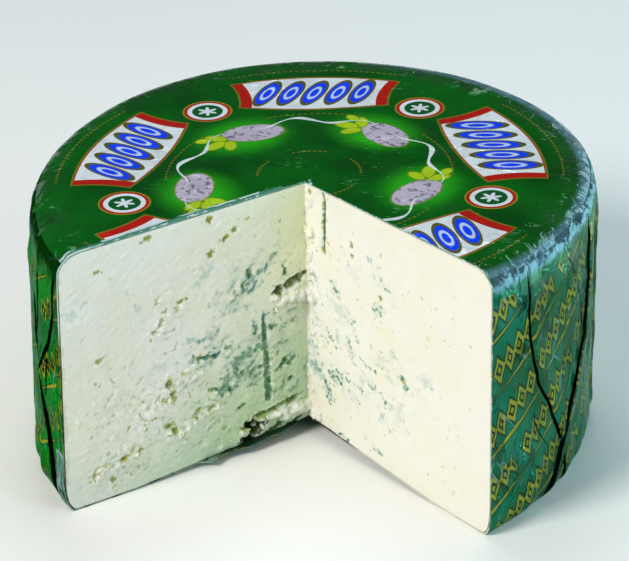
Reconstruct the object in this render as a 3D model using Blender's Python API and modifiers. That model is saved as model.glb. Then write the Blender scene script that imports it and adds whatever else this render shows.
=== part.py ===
"""Blue cheese wheel wrapped in foil, with about a quarter cut out as a wedge.

Metres, +Z up. The wheel stands on the foot ring of its foil at z = 0 and the notch opens
towards -Y. The origin is under the middle of the part's box, so the wheel's own axis lies
a little in front of it. Angles round the wheel are measured from -Y towards +X.
"""

import math
import random

import bmesh
import bpy
from mathutils import Vector, noise

MM = 0.001

# The turned wheel, measured outside the foil
WHEEL_RADIUS = 0.095
WHEEL_HEIGHT = 0.0944
BASE_FLARE = 0.0014
SHOULDER_RUN = 0.008
SHOULDER_DROP = 0.006
HEEL_RUN = 0.0035
HEEL_RISE = 0.009
FOOT_INNER_RADIUS = 0.071
FOIL_THICKNESS = 0.0005
FOIL_GAP = 0.0003
TURN_STEPS = 96
TOP_RINGS = (0.45, 0.78)
BASE_RING = 0.5
SHOULDER_STEPS, HEEL_STEPS = 4, 3
PASTE_SIDE_RINGS, FOIL_SIDE_RINGS = 5, 8
MERGE = 0.00001
ON_EDGE = 1e-6

# How the hand-made wheel departs from the turned one
OVAL_COS, OVAL_SIN = 0.0327, -0.0119
LOBE_COS, LOBE_SIN = 0.0115, -0.0110
TOP_SLOPE = 0.0163
BASE_SHIFT_X = -0.00105
BASE_DISH = 0.0056

# The notch: apex from the wheel's axis, and each cut face's angle from -Y
AXIS = Vector((0.0, -0.0159, 0.0))
APEX = AXIS + Vector((-0.0007, -0.0053, 0.0))
FACE_ANGLES = {"left": math.radians(-48.7), "right": math.radians(48.9)}
FACE_REACH = 0.108
CUTTER_DEPTH = 0.2
CUTTER_MARGIN = 0.012
CUT_STEP = 0.0036

# Relief of the cut faces: crumb, and the ragged ridges low on the left face
CRUMB_SIZE = 0.007
CRUMB_DEPTH = {"left": 0.00055, "right": 0.0003}
CRUMB_SEED = {"left": 0.05, "right": 0.0}
RIDGE_DEPTH = 0.0009
RIDGE_SIZE = 0.008
RIDGE_SLANT, RIDGE_SQUEEZE = (0.6, -0.5), 1.2
RIDGE_SHARPNESS = 2.2
RIDGE_SEED = 0.2
RIDGE_TOP = 0.06
RIM_FADE = 0.006
RIM_MARGIN = 0.006
BLOB_UNEVEN = 0.55
BLOB_GRAIN = 4.4
LARGE_HOLE = 4.5
LUMP_SINK, LUMP_TALLNESS = 0.4, 0.8
LUMP_SEED = 20
SLIVER = 0.00003

# Curd holes as (face, along, height, width, tallness, depth), all in millimetres
CURD_HOLES = (
    ("left", 6.5, 57.5, 11.0, 4.6, 7.0),
    ("left", 21.8, 64.9, 2.6, 4.2, 3.0),
    ("left", 36.1, 90.0, 2.6, 2.2, 2.6),
    ("left", 26.9, 84.6, 2.8, 2.4, 2.6),
    ("left", 30.4, 81.6, 2.4, 2.6, 2.4),
    ("left", 58.5, 89.6, 3.2, 2.2, 2.6),
    ("left", 77.6, 84.0, 2.2, 2.0, 2.2),
    ("left", 41.8, 41.0, 3.4, 2.6, 3.0),
    ("left", 55.5, 56.0, 2.6, 4.6, 2.6),
    ("left", 53.6, 31.6, 2.8, 3.6, 2.8),
    ("left", 74.0, 10.5, 5.0, 3.0, 2.8),
    ("left", 18.8, 19.0, 3.4, 2.4, 2.6),
    ("right", 35.9, 65.2, 3.4, 2.6, 3.2),
    ("right", 23.3, 75.5, 2.6, 3.0, 2.6),
    ("right", 34.4, 6.5, 2.8, 2.0, 2.2),
    ("right", 48.9, 39.1, 3.2, 2.2, 2.2),
    ("right", 14.8, 27.6, 3.0, 4.4, 2.6),
)

# Broken curd left standing in the corner of the notch, as (face, along, height, size, proud)
CURD_LUMPS = (
    ("left", 3.5, 52.6, 7.5, 2.6),
    ("left", 9.5, 52.0, 6.5, 1.9),
    ("right", 1.8, 53.2, 6.5, 2.0),
    ("right", 1.6, 76.5, 5.0, 1.5),
    ("right", 1.9, 86.5, 4.6, 1.2),
    ("left", 4.5, 9.8, 8.0, 3.6),
    ("left", 11.0, 9.4, 8.5, 3.9),
    ("left", 18.0, 8.5, 7.5, 3.0),
    ("left", 24.0, 7.3, 6.0, 2.0),
    ("right", 2.5, 9.4, 7.0, 2.4),
)

# Upright tracks of the needling, as (face, along, bottom, top) in millimetres
NEEDLE_DIAMETER = 0.0016
NEEDLE_SIDES = 8
NEEDLE_TRACKS = (("right", 10.0, 70.0, 100.0), ("left", 16.8, 17.0, 49.0))

# Tucks of the foil: creases that lean, as (angle, height) pairs from top to bottom
LEANING_TUCKS = (
    ((56.0, 0.090), (57.0, 0.0675), (60.0, 0.0485), (64.5, 0.0370), (70.0, 0.0205), (72.0, 0.0)),
    ((84.0, 0.092), (84.5, 0.0670), (82.0, 0.0475), (78.0, 0.0410), (73.0, 0.0230), (64.0, 0.0)),
)
TUCK_COUNT = 21
TUCK_RISE = 0.0016
TUCK_FADE = 7.0
TUCK_FIRST, TUCK_LAST = 98.0, 312.0
TUCK_SCATTER = 0.25
TUCK_LEAN = 4.0
TUCK_SEED = 7
GATHER_COUNT = 44
GATHER_SWAYS, GATHER_SWAY = 5, 3
GATHER_RISE = 0.0006
GATHER_REACH = 0.02
FOLD_FADE = 0.003
TOP_RIPPLE = 0.0003
RIPPLE_SIZE = 0.03

# The torn lip of the foil's base on the left of the apex
LIP_START, LIP_END = 0.004, 0.044
LIP_REACH = 0.0035
LIP_TEETH = 9
LIP_SHORTEST = 0.35
LIP_SEED = 3
LIP_LEVEL = 0.020
LIP_OVERLAP = 0.0001


def uneven(angle):
    """The plan's radius at this angle, as a share of the turned wheel's."""
    oval = OVAL_COS * math.cos(2 * angle) + OVAL_SIN * math.sin(2 * angle)
    lobe = LOBE_COS * math.cos(3 * angle) + LOBE_SIN * math.sin(3 * angle)
    return 1 + oval + lobe


def settle(point):
    """Where a point of the turned wheel lies on the hand-made one, in the part's frame."""
    x, y, z = point
    share = z / WHEEL_HEIGHT
    low = 1 - share
    scale = uneven(math.atan2(x, -y))
    dish = max(0.0, 1 - math.hypot(x, y) / FOOT_INNER_RADIUS)
    lifted = z + share * share * TOP_SLOPE * x * scale + low * low * BASE_DISH * dish
    return Vector((x * scale + BASE_SHIFT_X * low, y * scale, lifted)) + AXIS


def arc(centre, run, rise, steps, first, last):
    """Points of an elliptic arc, both ends included, with angles in degrees from +X."""
    points = []
    for step in range(steps + 1):
        angle = math.radians(first + (last - first) * step / steps)
        points.append((centre[0] + run * math.cos(angle), centre[1] + rise * math.sin(angle)))
    return points


def wheel_profile(inset, side_rings):
    """Half section of the wheel, this far inside the foil's outer face, from top to base."""
    top = WHEEL_HEIGHT - inset
    rim = WHEEL_RADIUS - inset
    heel = rim + BASE_FLARE
    shoulder_centre = (rim - SHOULDER_RUN, top - SHOULDER_DROP)
    heel_centre = (heel - HEEL_RUN, inset + HEEL_RISE)
    points = [(0.0, top)] + [(rim * share, top) for share in TOP_RINGS]
    points += arc(shoulder_centre, SHOULDER_RUN, SHOULDER_DROP, SHOULDER_STEPS, 90, 0)
    upper, lower = points[-1], (heel, heel_centre[1])
    for ring in range(1, side_rings):
        part = ring / side_rings
        points.append((upper[0] + (lower[0] - upper[0]) * part, upper[1] + (lower[1] - upper[1]) * part))
    points += arc(heel_centre, HEEL_RUN, HEEL_RISE, HEEL_STEPS, 0, -90)
    points += [(FOOT_INNER_RADIUS, inset), (FOOT_INNER_RADIUS * BASE_RING, inset), (0.0, inset)]
    return points


def link(obj, collection):
    """Puts an object in a collection and hands it back."""
    collection.objects.link(obj)
    return obj


def turned_mesh(name, profile):
    """A closed mesh of revolution about Z from a half section that starts and ends on the axis."""
    mesh = bpy.data.meshes.new(name)
    edges = [(index, index + 1) for index in range(len(profile) - 1)]
    mesh.from_pydata([(radius, 0.0, height) for radius, height in profile], edges, [])
    obj = link(bpy.data.objects.new(name, mesh), bpy.context.scene.collection)
    screw = obj.modifiers.new("turn", "SCREW")
    screw.axis = "Z"
    screw.angle = math.tau
    screw.steps = screw.render_steps = TURN_STEPS
    screw.use_merge_vertices = True
    screw.merge_threshold = MERGE
    graph = bpy.context.evaluated_depsgraph_get()
    turned = bpy.data.meshes.new_from_object(obj.evaluated_get(graph))
    bpy.data.objects.remove(obj)
    return turned


def move_points(mesh, place):
    """Moves every point of a mesh to where the function puts it."""
    shape = bmesh.new()
    shape.from_mesh(mesh)
    for vert in shape.verts:
        vert.co = place(vert.co)
    bmesh.ops.recalc_face_normals(shape, faces=shape.faces)
    shape.to_mesh(mesh)
    shape.free()


def tuck_angle(tuck, height):
    """The angle of a leaning tuck at this height, read along its line of points."""
    for (upper_angle, upper), (lower_angle, lower) in zip(tuck, tuck[1:]):
        if height >= lower:
            part = min(1.0, (upper - height) / (upper - lower))
            return upper_angle + (lower_angle - upper_angle) * part
    return tuck[-1][0]


def plain_tucks():
    """The nearly upright tucks round the back of the wheel."""
    draw = random.Random(TUCK_SEED)
    spacing = (TUCK_LAST - TUCK_FIRST) / (TUCK_COUNT - 1)
    tucks = []
    for number in range(TUCK_COUNT):
        middle = TUCK_FIRST + spacing * (number + draw.uniform(-TUCK_SCATTER, TUCK_SCATTER))
        lean = draw.uniform(-TUCK_LEAN, TUCK_LEAN)
        tucks.append(((middle + lean, WHEEL_HEIGHT), (middle - lean, 0.0)))
    return tucks


def tuck_rise(angle, height, tucks):
    """How far the foil stands off at its tucks: a sharp edge on one side that dies away."""
    rise = 0.0
    for tuck in tucks:
        past = (math.degrees(angle) - tuck_angle(tuck, height)) % 360
        if past < TUCK_FADE:
            rise = max(rise, TUCK_RISE * (1 - past / TUCK_FADE))
    return rise


def fold_foil(tucks):
    """Gives the function that folds the foil's outer face, then settles it on the wheel."""

    def place(point):
        x, y, z = point
        radius = math.hypot(x, y)
        if z > WHEEL_HEIGHT - ON_EDGE:
            ripple = noise.noise(Vector((x, y, 0.0)) / RIPPLE_SIZE)
            return settle(Vector((x, y, z))) + Vector((0, 0, TOP_RIPPLE * (1 + ripple)))
        if z < ON_EDGE or radius < ON_EDGE:
            return settle(point)
        angle = math.atan2(x, -y)
        gather = math.sin(GATHER_COUNT * angle + GATHER_SWAY * math.sin(GATHER_SWAYS * angle))
        near_shoulder = max(0.0, 1 - (WHEEL_HEIGHT - z) / GATHER_REACH)
        near_heel = max(0.0, 1 - z / GATHER_REACH)
        rise = tuck_rise(angle, z, tucks) + GATHER_RISE * (1 + gather) * max(near_shoulder, near_heel)
        rise *= min(1.0, (WHEEL_HEIGHT - z) / FOLD_FADE, z / FOLD_FADE)
        return settle(point) + Vector((x, y, 0.0)) * (rise / radius)

    return place


def face_point(side, along, height, proud=0.0):
    """A point of a cut face: along it from the apex, up, and proud of it into the notch."""
    angle = FACE_ANGLES[side]
    run = Vector((math.sin(angle), -math.cos(angle), 0.0))
    inward = -1 if side == "right" else 1
    out = Vector((math.cos(angle), math.sin(angle), 0.0)) * inward
    return APEX + run * along + out * proud + Vector((0, 0, height))


def crumb(side, along, height):
    """How far the broken curd stands proud of the cut here; it dies away at the rind."""
    here = Vector((along, height, CRUMB_SEED[side])) / CRUMB_SIZE
    proud = CRUMB_DEPTH[side] * noise.fractal(here, 1.0, 2.0, 2)
    if side == "left":
        low = max(0.0, 1 - height / RIDGE_TOP)
        slanted = along * RIDGE_SLANT[0] + height * RIDGE_SLANT[1]
        ridge = noise.noise(Vector((slanted, height * RIDGE_SQUEEZE, RIDGE_SEED)) / RIDGE_SIZE)
        proud += RIDGE_DEPTH * low * (1 - RIDGE_SHARPNESS * abs(ridge))
    edge = min(height, WHEEL_HEIGHT - height, WHEEL_RADIUS - RIM_MARGIN - along, RIM_FADE)
    return proud * max(0.0, edge) / RIM_FADE


def notch_cutter(collection):
    """The wedge that is cut out of the cheese, as a folded grid carried out through the rim."""
    shape = bmesh.new()
    tall = WHEEL_HEIGHT + 2 * CUTTER_MARGIN
    columns = 2 * round(FACE_REACH / CUT_STEP)
    rows = round(tall / CUT_STEP)
    bmesh.ops.create_grid(shape, x_segments=columns, y_segments=rows, size=1.0)
    for vert in shape.verts:
        side = "left" if vert.co.x < 0 else "right"
        along = abs(vert.co.x) * FACE_REACH
        height = (vert.co.y + 1) / 2 * tall - CUTTER_MARGIN
        proud = crumb(side, along, height) if along > ON_EDGE else 0.0
        vert.co = face_point(side, along, height, proud)
    grown = bmesh.ops.extrude_face_region(shape, geom=shape.faces[:])
    for item in grown["geom"]:
        if isinstance(item, bmesh.types.BMVert):
            item.co.y -= CUTTER_DEPTH
    bmesh.ops.recalc_face_normals(shape, faces=shape.faces)
    return new_object("notch_cutter", shape, collection)


def new_object(name, shape, collection):
    """Turns a bmesh into an object in a collection."""
    mesh = bpy.data.meshes.new(name)
    shape.to_mesh(mesh)
    shape.free()
    return link(bpy.data.objects.new(name, mesh), collection)


def blob(name, centre, run, sizes, seed, detail, collection):
    """A lumpy ball, of these sizes along the cut face, across it and up."""
    shape = bmesh.new()
    bmesh.ops.create_icosphere(shape, subdivisions=detail, radius=0.5)
    across = Vector((-run.y, run.x, 0.0))
    shift = Vector((seed, 0.3 * seed, 0.0))
    for vert in shape.verts:
        swell = 1 + BLOB_UNEVEN * noise.noise(vert.co * BLOB_GRAIN + shift)
        local = vert.co * swell
        vert.co = centre + run * (local.x * sizes[0]) + across * (local.y * sizes[1])
        vert.co.z += local.z * sizes[2]
    return new_object(name, shape, collection)


def face_run(side):
    """The level direction along a cut face, away from the apex."""
    return Vector((math.sin(FACE_ANGLES[side]), -math.cos(FACE_ANGLES[side]), 0.0))


def curd_holes(collection):
    """The open holes in the curd."""
    for number, (side, along, height, width, tall, depth) in enumerate(CURD_HOLES):
        centre = face_point(side, along * MM, height * MM)
        sizes = (width * MM, 2 * depth * MM, tall * MM)
        detail = 2 if width > LARGE_HOLE else 1
        blob(f"hole_{number}", centre, face_run(side), sizes, number, detail, collection)


def curd_lumps(collection):
    """The broken curd that stands in the corner and along its foot."""
    for number, (side, along, height, size, proud) in enumerate(CURD_LUMPS):
        depth = size * MM
        sizes = (depth, depth, LUMP_TALLNESS * depth)
        centre = face_point(side, along * MM, height * MM, proud * MM - LUMP_SINK * depth)
        blob(f"lump_{number}", centre, face_run(side), sizes, LUMP_SEED + number, 2, collection)


def needle_tracks(collection):
    """The straight upright channels that the needles left, half open at the cut."""
    for side, along, bottom, top in NEEDLE_TRACKS:
        shape = bmesh.new()
        radius = NEEDLE_DIAMETER / 2
        bmesh.ops.create_cone(shape, cap_ends=True, segments=NEEDLE_SIDES, radius1=radius,
                              radius2=radius, depth=(top - bottom) * MM)
        middle = face_point(side, along * MM, (top + bottom) / 2 * MM)
        bmesh.ops.translate(shape, verts=shape.verts, vec=middle)
        new_object(f"needle_{side}", shape, collection)


def prism(name, outline, bottom, top, collection):
    """A flat outline carried up between two levels, as a closed mesh."""
    curve = bpy.data.curves.new(name, "CURVE")
    curve.dimensions = "2D"
    curve.fill_mode = "BOTH"
    curve.extrude = (top - bottom) / 2
    spline = curve.splines.new("POLY")
    spline.points.add(len(outline) - 1)
    for point, (x, y) in zip(spline.points, outline):
        point.co = (x, y, 0.0, 1.0)
    spline.use_cyclic_u = True
    source = link(bpy.data.objects.new(name + "_outline", curve), bpy.context.scene.collection)
    graph = bpy.context.evaluated_depsgraph_get()
    mesh = bpy.data.meshes.new_from_object(source.evaluated_get(graph))
    bpy.data.objects.remove(source)
    shape = bmesh.new()
    shape.from_mesh(mesh)
    bmesh.ops.remove_doubles(shape, verts=shape.verts, dist=MERGE)
    bmesh.ops.translate(shape, verts=shape.verts, vec=(0.0, 0.0, (top + bottom) / 2))
    bmesh.ops.recalc_face_normals(shape, faces=shape.faces)
    return new_object(name, shape, collection)


def notch_outline(torn):
    """The notch in plan: clean along both cuts, or torn where the knife pulled the base foil."""
    outline = [face_point("right", 2 * FACE_REACH, 0.0), face_point("right", 0.0, 0.0)]
    if torn:
        draw = random.Random(LIP_SEED)
        for tooth in range(LIP_TEETH + 1):
            along = LIP_START + (LIP_END - LIP_START) * tooth / LIP_TEETH
            reach = 0.0 if tooth in (0, LIP_TEETH) else LIP_REACH * draw.uniform(LIP_SHORTEST, 1.0)
            outline.append(face_point("left", along, 0.0, reach))
    outline.append(face_point("left", 2 * FACE_REACH, 0.0))
    return [(point.x, point.y) for point in outline]


def cut(obj, operation, collection=None, cutter=None):
    """Applies a Boolean with one object or a whole collection, and merges the slivers it leaves."""
    step = obj.modifiers.new(operation.lower(), "BOOLEAN")
    step.operation = operation
    step.solver = "EXACT"
    if collection:
        step.operand_type = "COLLECTION"
        step.collection = collection
    else:
        step.object = cutter
    apply_modifiers(obj)
    shape = bmesh.new()
    shape.from_mesh(obj.data)
    bmesh.ops.triangulate(shape, faces=shape.faces)
    bmesh.ops.remove_doubles(shape, verts=shape.verts, dist=SLIVER)
    bmesh.ops.dissolve_degenerate(shape, edges=shape.edges, dist=SLIVER)
    bmesh.ops.triangulate(shape, faces=shape.faces)
    shape.to_mesh(obj.data)
    shape.free()


def apply_modifiers(obj):
    """Gives an object the mesh that its modifiers make, and clears them."""
    graph = bpy.context.evaluated_depsgraph_get()
    obj.data = bpy.data.meshes.new_from_object(obj.evaluated_get(graph))
    obj.modifiers.clear()


def make_cheese(body, cutters):
    """The paste: the settled wheel less the notch, with the broken curd and the holes."""
    holes = bpy.data.collections.new("curd_holes")
    lumps = bpy.data.collections.new("curd_lumps")
    for collection in (holes, lumps):
        cutters.children.link(collection)
    mesh = turned_mesh("cheese", wheel_profile(FOIL_THICKNESS + FOIL_GAP, PASTE_SIDE_RINGS))
    move_points(mesh, settle)
    cheese = link(bpy.data.objects.new("cheese", mesh), body)
    cut(cheese, "DIFFERENCE", cutter=notch_cutter(cutters))
    curd_lumps(lumps)
    cut(cheese, "UNION", collection=lumps)
    curd_holes(holes)
    needle_tracks(holes)
    cut(cheese, "DIFFERENCE", collection=holes)
    return cheese


def make_foil(body, cutters):
    """The wrapper: a thin shell round the whole wheel, cut open with it."""
    tucks = list(LEANING_TUCKS) + plain_tucks()
    mesh = turned_mesh("foil", wheel_profile(0.0, FOIL_SIDE_RINGS))
    move_points(mesh, fold_foil(tucks))
    foil = link(bpy.data.objects.new("foil", mesh), body)
    wall = foil.modifiers.new("wall", "SOLIDIFY")
    wall.thickness = FOIL_THICKNESS
    wall.offset = -1
    wall.use_even_offset = True
    above = prism("notch_above", notch_outline(False), LIP_LEVEL, WHEEL_HEIGHT + CUTTER_MARGIN, cutters)
    below = prism("notch_below", notch_outline(True), -CUTTER_MARGIN, LIP_LEVEL + LIP_OVERLAP, cutters)
    cut(foil, "DIFFERENCE", cutter=above)
    cut(foil, "DIFFERENCE", cutter=below)
    return foil


def give_material(obj, name, colour, roughness, metallic):
    """A Principled surface with one colour, roughness and metallic value."""
    material = bpy.data.materials.new(name)
    material.use_nodes = True
    shader = material.node_tree.nodes["Principled BSDF"]
    shader.inputs["Base Color"].default_value = (*colour, 1.0)
    shader.inputs["Roughness"].default_value = roughness
    shader.inputs["Metallic"].default_value = metallic
    obj.data.materials.append(material)


def main():
    """Builds the cheese and its foil in a collection of their own."""
    for obj in list(bpy.data.objects):
        bpy.data.objects.remove(obj)
    body = bpy.data.collections.new("blue_cheese_wheel")
    cutters = bpy.data.collections.new("cutters")
    for collection in (body, cutters):
        bpy.context.scene.collection.children.link(collection)
    cheese = make_cheese(body, cutters)
    foil = make_foil(body, cutters)
    give_material(cheese, "cheese_paste", (0.86, 0.85, 0.70), 0.5, 0.0)
    give_material(foil, "green_foil", (0.01, 0.12, 0.05), 0.25, 0.9)
    for guide in cutters.all_objects:
        guide.hide_render = True
        guide.display_type = "WIRE"


main()
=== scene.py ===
"""The dressed blue cheese wheel: crumbly paste with blue-green veins, in creased printed foil.

Metres, +Z up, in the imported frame. The notch opens towards -Y. On a cut face, "along" runs
from the notch's corner out to the rind; it is negative on the left face, so that one grid
unfolds both faces. Relief and growth are drawn on that grid in millimetres.
"""

import ast
import math
import random

import bmesh
import bpy
import numpy as np
from mathutils import Matrix, Vector, noise


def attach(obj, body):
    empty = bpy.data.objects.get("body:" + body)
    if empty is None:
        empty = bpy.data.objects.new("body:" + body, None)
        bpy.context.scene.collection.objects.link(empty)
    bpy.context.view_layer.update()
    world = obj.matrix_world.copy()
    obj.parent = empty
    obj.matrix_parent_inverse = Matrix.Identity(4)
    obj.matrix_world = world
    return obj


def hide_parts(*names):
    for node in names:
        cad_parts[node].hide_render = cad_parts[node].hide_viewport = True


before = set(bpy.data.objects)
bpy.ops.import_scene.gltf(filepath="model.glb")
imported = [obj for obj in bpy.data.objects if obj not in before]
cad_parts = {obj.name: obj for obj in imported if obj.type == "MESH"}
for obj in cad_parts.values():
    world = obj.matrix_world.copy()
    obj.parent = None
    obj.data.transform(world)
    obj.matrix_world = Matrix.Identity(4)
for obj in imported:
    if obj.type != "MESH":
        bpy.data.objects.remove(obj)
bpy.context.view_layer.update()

bl_info = {
    "name": "Blue Cheese Wheel",
    "version": (1, 0, 0),
    "blender": (4, 5, 0),
    "location": "View3D > Sidebar > Cheese Wheel",
    "description": "Dresses a cut wheel of blue cheese in paste, veins and printed foil",
    "category": "Object",
}

MM = 0.001

# The wheel's form, as the solids have it
WHEEL_RADIUS = 0.095
WHEEL_HEIGHT = 0.0944
BASE_FLARE = 0.0014
SHOULDER_RUN, SHOULDER_DROP = 0.008, 0.006
HEEL_RUN, HEEL_RISE = 0.0035, 0.009
FOOT_INNER_RADIUS = 0.071
PASTE_INSET = 0.0006
OVAL_COS, OVAL_SIN = 0.0327, -0.0119
LOBE_COS, LOBE_SIN = 0.0115, -0.0110
TOP_SLOPE = 0.0163
BASE_SHIFT_X = -0.00105
BASE_DISH = 0.0056

# Foil further out than this is the side, and foil this close to the top's level is the flat top
WALL_RADIUS = 0.078
TOP_BAND = 0.0012

# How finely the shapes are turned
PASTE_RINGS = {"top_rings": 6, "arc_rings": 5, "side_rings": 12, "base_rings": 2}
PASTE_STEPS = 192
OUTSIDE_RINGS = {"top_rings": 22, "arc_rings": 9, "base_rings": 4}
INSIDE_RINGS = {"top_rings": 11, "arc_rings": 9, "base_rings": 3}
INSIDE_STEPS = 72

# The notch; a point this far behind its corner still counts as on a cut face
AXIS = np.array((0.0, -0.0159, 0.0))
APEX = AXIS + np.array((-0.0007, -0.0053, 0.0))
LEFT_ANGLE, RIGHT_ANGLE = math.radians(-48.7), math.radians(48.9)
FACE_REACH = 0.108
CUTTER_DEPTH = 0.2
CUTTER_MARGIN = 0.006
CORNER_BLEND = 7.0
BEHIND_CORNER = 0.004
NOTCH_SPARE = 0.02

# Broken curd in the notch's corner, as (along, height, half width, half height, proud) in mm
CURD_LUMPS = (
    (-1.6, 53.6, 3.2, 2.2, 2.6),
    (-5.4, 54.2, 2.7, 1.7, 2.3),
    (-9.6, 53.8, 2.6, 1.8, 1.7),
    (-12.6, 55.0, 1.7, 1.3, 1.1),
    (2.4, 52.6, 2.5, 2.2, 1.5),
    (1.7, 76.6, 2.3, 2.0, 1.5),
    (1.9, 88.0, 1.9, 3.0, 0.9),
    (1.5, 68.0, 1.7, 3.4, 0.7),
    (2.0, 40.0, 1.9, 3.2, 0.8),
    (-1.4, 10.0, 3.8, 2.6, 2.4),
    (-5.2, 10.6, 3.6, 1.9, 2.6),
    (-9.4, 9.8, 3.0, 2.1, 2.2),
    (-13.2, 11.0, 3.6, 1.3, 1.8),
    (-18.4, 11.0, 2.4, 0.9, 1.1),
    (-26.4, 7.7, 2.0, 1.1, 1.7),
    (-29.2, 5.6, 2.0, 0.9, 1.0),
    (3.2, 8.8, 3.0, 2.4, 1.6),
)

# Holes in the curd, as (along, height, half width, half height, depth) in mm
CURD_HOLES = (
    (-5.6, 59.0, 4.6, 1.5, 5.5),
    (-10.6, 57.2, 2.0, 1.6, 5.5),
    (-8.2, 63.2, 0.7, 1.3, 1.2),
    (-22.1, 67.0, 0.9, 1.5, 1.2),
    (-24.6, 63.6, 0.9, 0.9, 1.0),
    (-36.0, 90.9, 1.1, 1.2, 1.2),
    (-26.9, 84.6, 1.1, 0.8, 1.1),
    (-30.6, 82.4, 1.3, 0.8, 1.3),
    (-36.6, 78.4, 1.3, 0.8, 1.0),
    (-58.9, 90.8, 1.5, 0.9, 0.8),
    (-77.6, 84.0, 1.2, 0.6, 0.8),
    (-41.8, 41.0, 1.5, 1.0, 1.1),
    (-37.6, 40.6, 1.0, 0.8, 0.8),
    (-53.6, 35.4, 1.5, 1.4, 1.3),
    (-52.6, 31.2, 1.0, 1.6, 1.2),
    (-54.5, 19.6, 1.8, 1.0, 1.3),
    (-52.4, 17.4, 1.0, 1.2, 1.2),
    (-71.7, 13.4, 1.7, 0.9, 1.2),
    (-76.1, 6.4, 0.8, 1.4, 1.0),
    (-26.6, 17.6, 1.3, 0.7, 1.0),
    (-43.0, 21.9, 1.0, 0.9, 0.9),
    (-22.0, 8.6, 3.2, 2.6, 6.0),
    (-24.6, 5.4, 2.6, 1.8, 6.0),
    (-13.6, 13.0, 5.6, 0.65, 3.4),
    (-19.6, 12.2, 3.0, 0.55, 2.6),
    (-6.6, 13.9, 3.0, 0.9, 3.6),
    (36.6, 65.6, 1.0, 1.0, 1.4),
    (22.8, 79.4, 0.7, 1.0, 0.9),
    (23.2, 76.0, 0.7, 0.6, 0.8),
    (48.4, 39.2, 1.3, 0.6, 0.9),
    (2.6, 91.6, 0.7, 0.7, 0.9),
)

# Needle tracks, as (along at bottom, along at top, bottom, top, half width, depth) in mm
NEEDLE_TRACKS = (
    (8.7, 9.5, 72.0, 99.0, 0.80, 1.3),
    (-15.8, -16.9, 17.6, 50.0, 1.30, 0.8),
)

# Smears of mould along a bend, as points of (along, height, half width) in mm
MOULD_SMEARS = (
    ((-29.0, 34.5, 1.2), (-28.2, 36.0, 2.1), (-25.4, 37.0, 2.2),
     (-22.8, 37.8, 1.6), (-20.3, 38.5, 1.1), (-17.8, 38.8, 0.9)),
    ((-28.6, 35.0, 0.9), (-28.4, 32.4, 0.9), (-27.6, 29.4, 0.8)),
    ((-34.6, 25.8, 1.1), (-32.6, 28.2, 1.5), (-31.2, 30.2, 0.9)),
    ((-26.2, 31.0, 0.6), (-23.0, 32.2, 0.7), (-21.6, 33.4, 0.5)),
)

# Rows of small dark pits in the ripe curd, as two (along, height) ends in mm and a strength
PIT_ROWS = (
    ((-15.5, 49.6), (-11.2, 50.2), 0.7),
    ((-14.6, 44.8), (-11.6, 44.6), 0.9),
    ((-10.0, 43.2), (-5.4, 44.2), 0.7),
    ((-14.2, 36.6), (-6.2, 37.8), 0.6),
    ((-13.0, 33.2), (-11.4, 34.2), 0.7),
    ((-10.6, 29.0), (-7.4, 29.8), 1.0),
    ((-7.4, 29.4), (-5.0, 30.6), 0.7),
    ((-12.8, 27.2), (-11.2, 28.9), 0.6),
    ((-10.2, 21.4), (-8.2, 23.0), 0.9),
    ((-21.2, 49.2), (-20.4, 44.4), 0.8),
    ((-22.3, 67.6), (-21.9, 65.2), 1.0),
    ((-25.0, 64.2), (-24.2, 62.0), 0.9),
    ((-28.2, 61.4), (-26.0, 60.0), 0.6),
    ((-36.8, 41.4), (-41.6, 41.2), 1.0),
    ((-22.0, 27.0), (-20.8, 27.8), 1.0),
    ((-27.2, 18.0), (-25.6, 18.4), 1.0),
    ((-8.6, 64.2), (-8.4, 62.4), 0.9),
    ((-39.8, 48.0), (-42.0, 47.0), 0.7),
)

# Where the mould grows: (along, height, spread along, spread up) in mm, streaks, strength
GROWTH_PATCHES = (
    (-25.0, 28.5, 7.0, 5.0, 18, 0.85),
    (-27.0, 38.0, 7.0, 5.0, 8, 0.70),
    (-9.5, 36.0, 4.0, 12.0, 16, 0.60),
    (-10.0, 26.0, 5.0, 6.0, 9, 0.85),
    (-23.5, 64.0, 4.5, 4.5, 10, 0.80),
    (-17.0, 70.0, 4.0, 3.5, 4, 0.50),
    (-30.0, 57.0, 6.0, 5.0, 8, 0.55),
    (-36.0, 46.0, 9.0, 6.0, 10, 0.55),
    (-40.0, 34.0, 8.0, 7.0, 10, 0.55),
    (-46.0, 26.0, 9.0, 8.0, 8, 0.45),
    (-58.0, 40.0, 12.0, 14.0, 9, 0.35),
    (-72.0, 28.0, 8.0, 9.0, 7, 0.32),
    (-64.0, 68.0, 9.0, 8.0, 4, 0.35),
    (23.0, 74.0, 5.0, 7.0, 5, 0.30),
    (35.0, 74.0, 7.0, 5.0, 5, 0.35),
    (16.0, 58.0, 5.0, 6.0, 5, 0.42),
    (3.5, 48.0, 3.0, 12.0, 7, 0.45),
    (15.0, 43.0, 7.0, 7.0, 7, 0.42),
    (3.0, 30.5, 2.5, 3.5, 9, 0.63),
    (38.0, 44.0, 6.0, 4.0, 5, 0.42),
    (29.0, 34.0, 9.0, 6.0, 8, 0.42),
    (52.0, 41.0, 7.0, 4.0, 5, 0.38),
    (44.0, 25.0, 9.0, 7.0, 10, 0.34),
    (50.0, 64.0, 5.0, 9.0, 5, 0.24),
    (70.0, 33.0, 4.0, 4.0, 5, 0.24),
)

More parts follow.
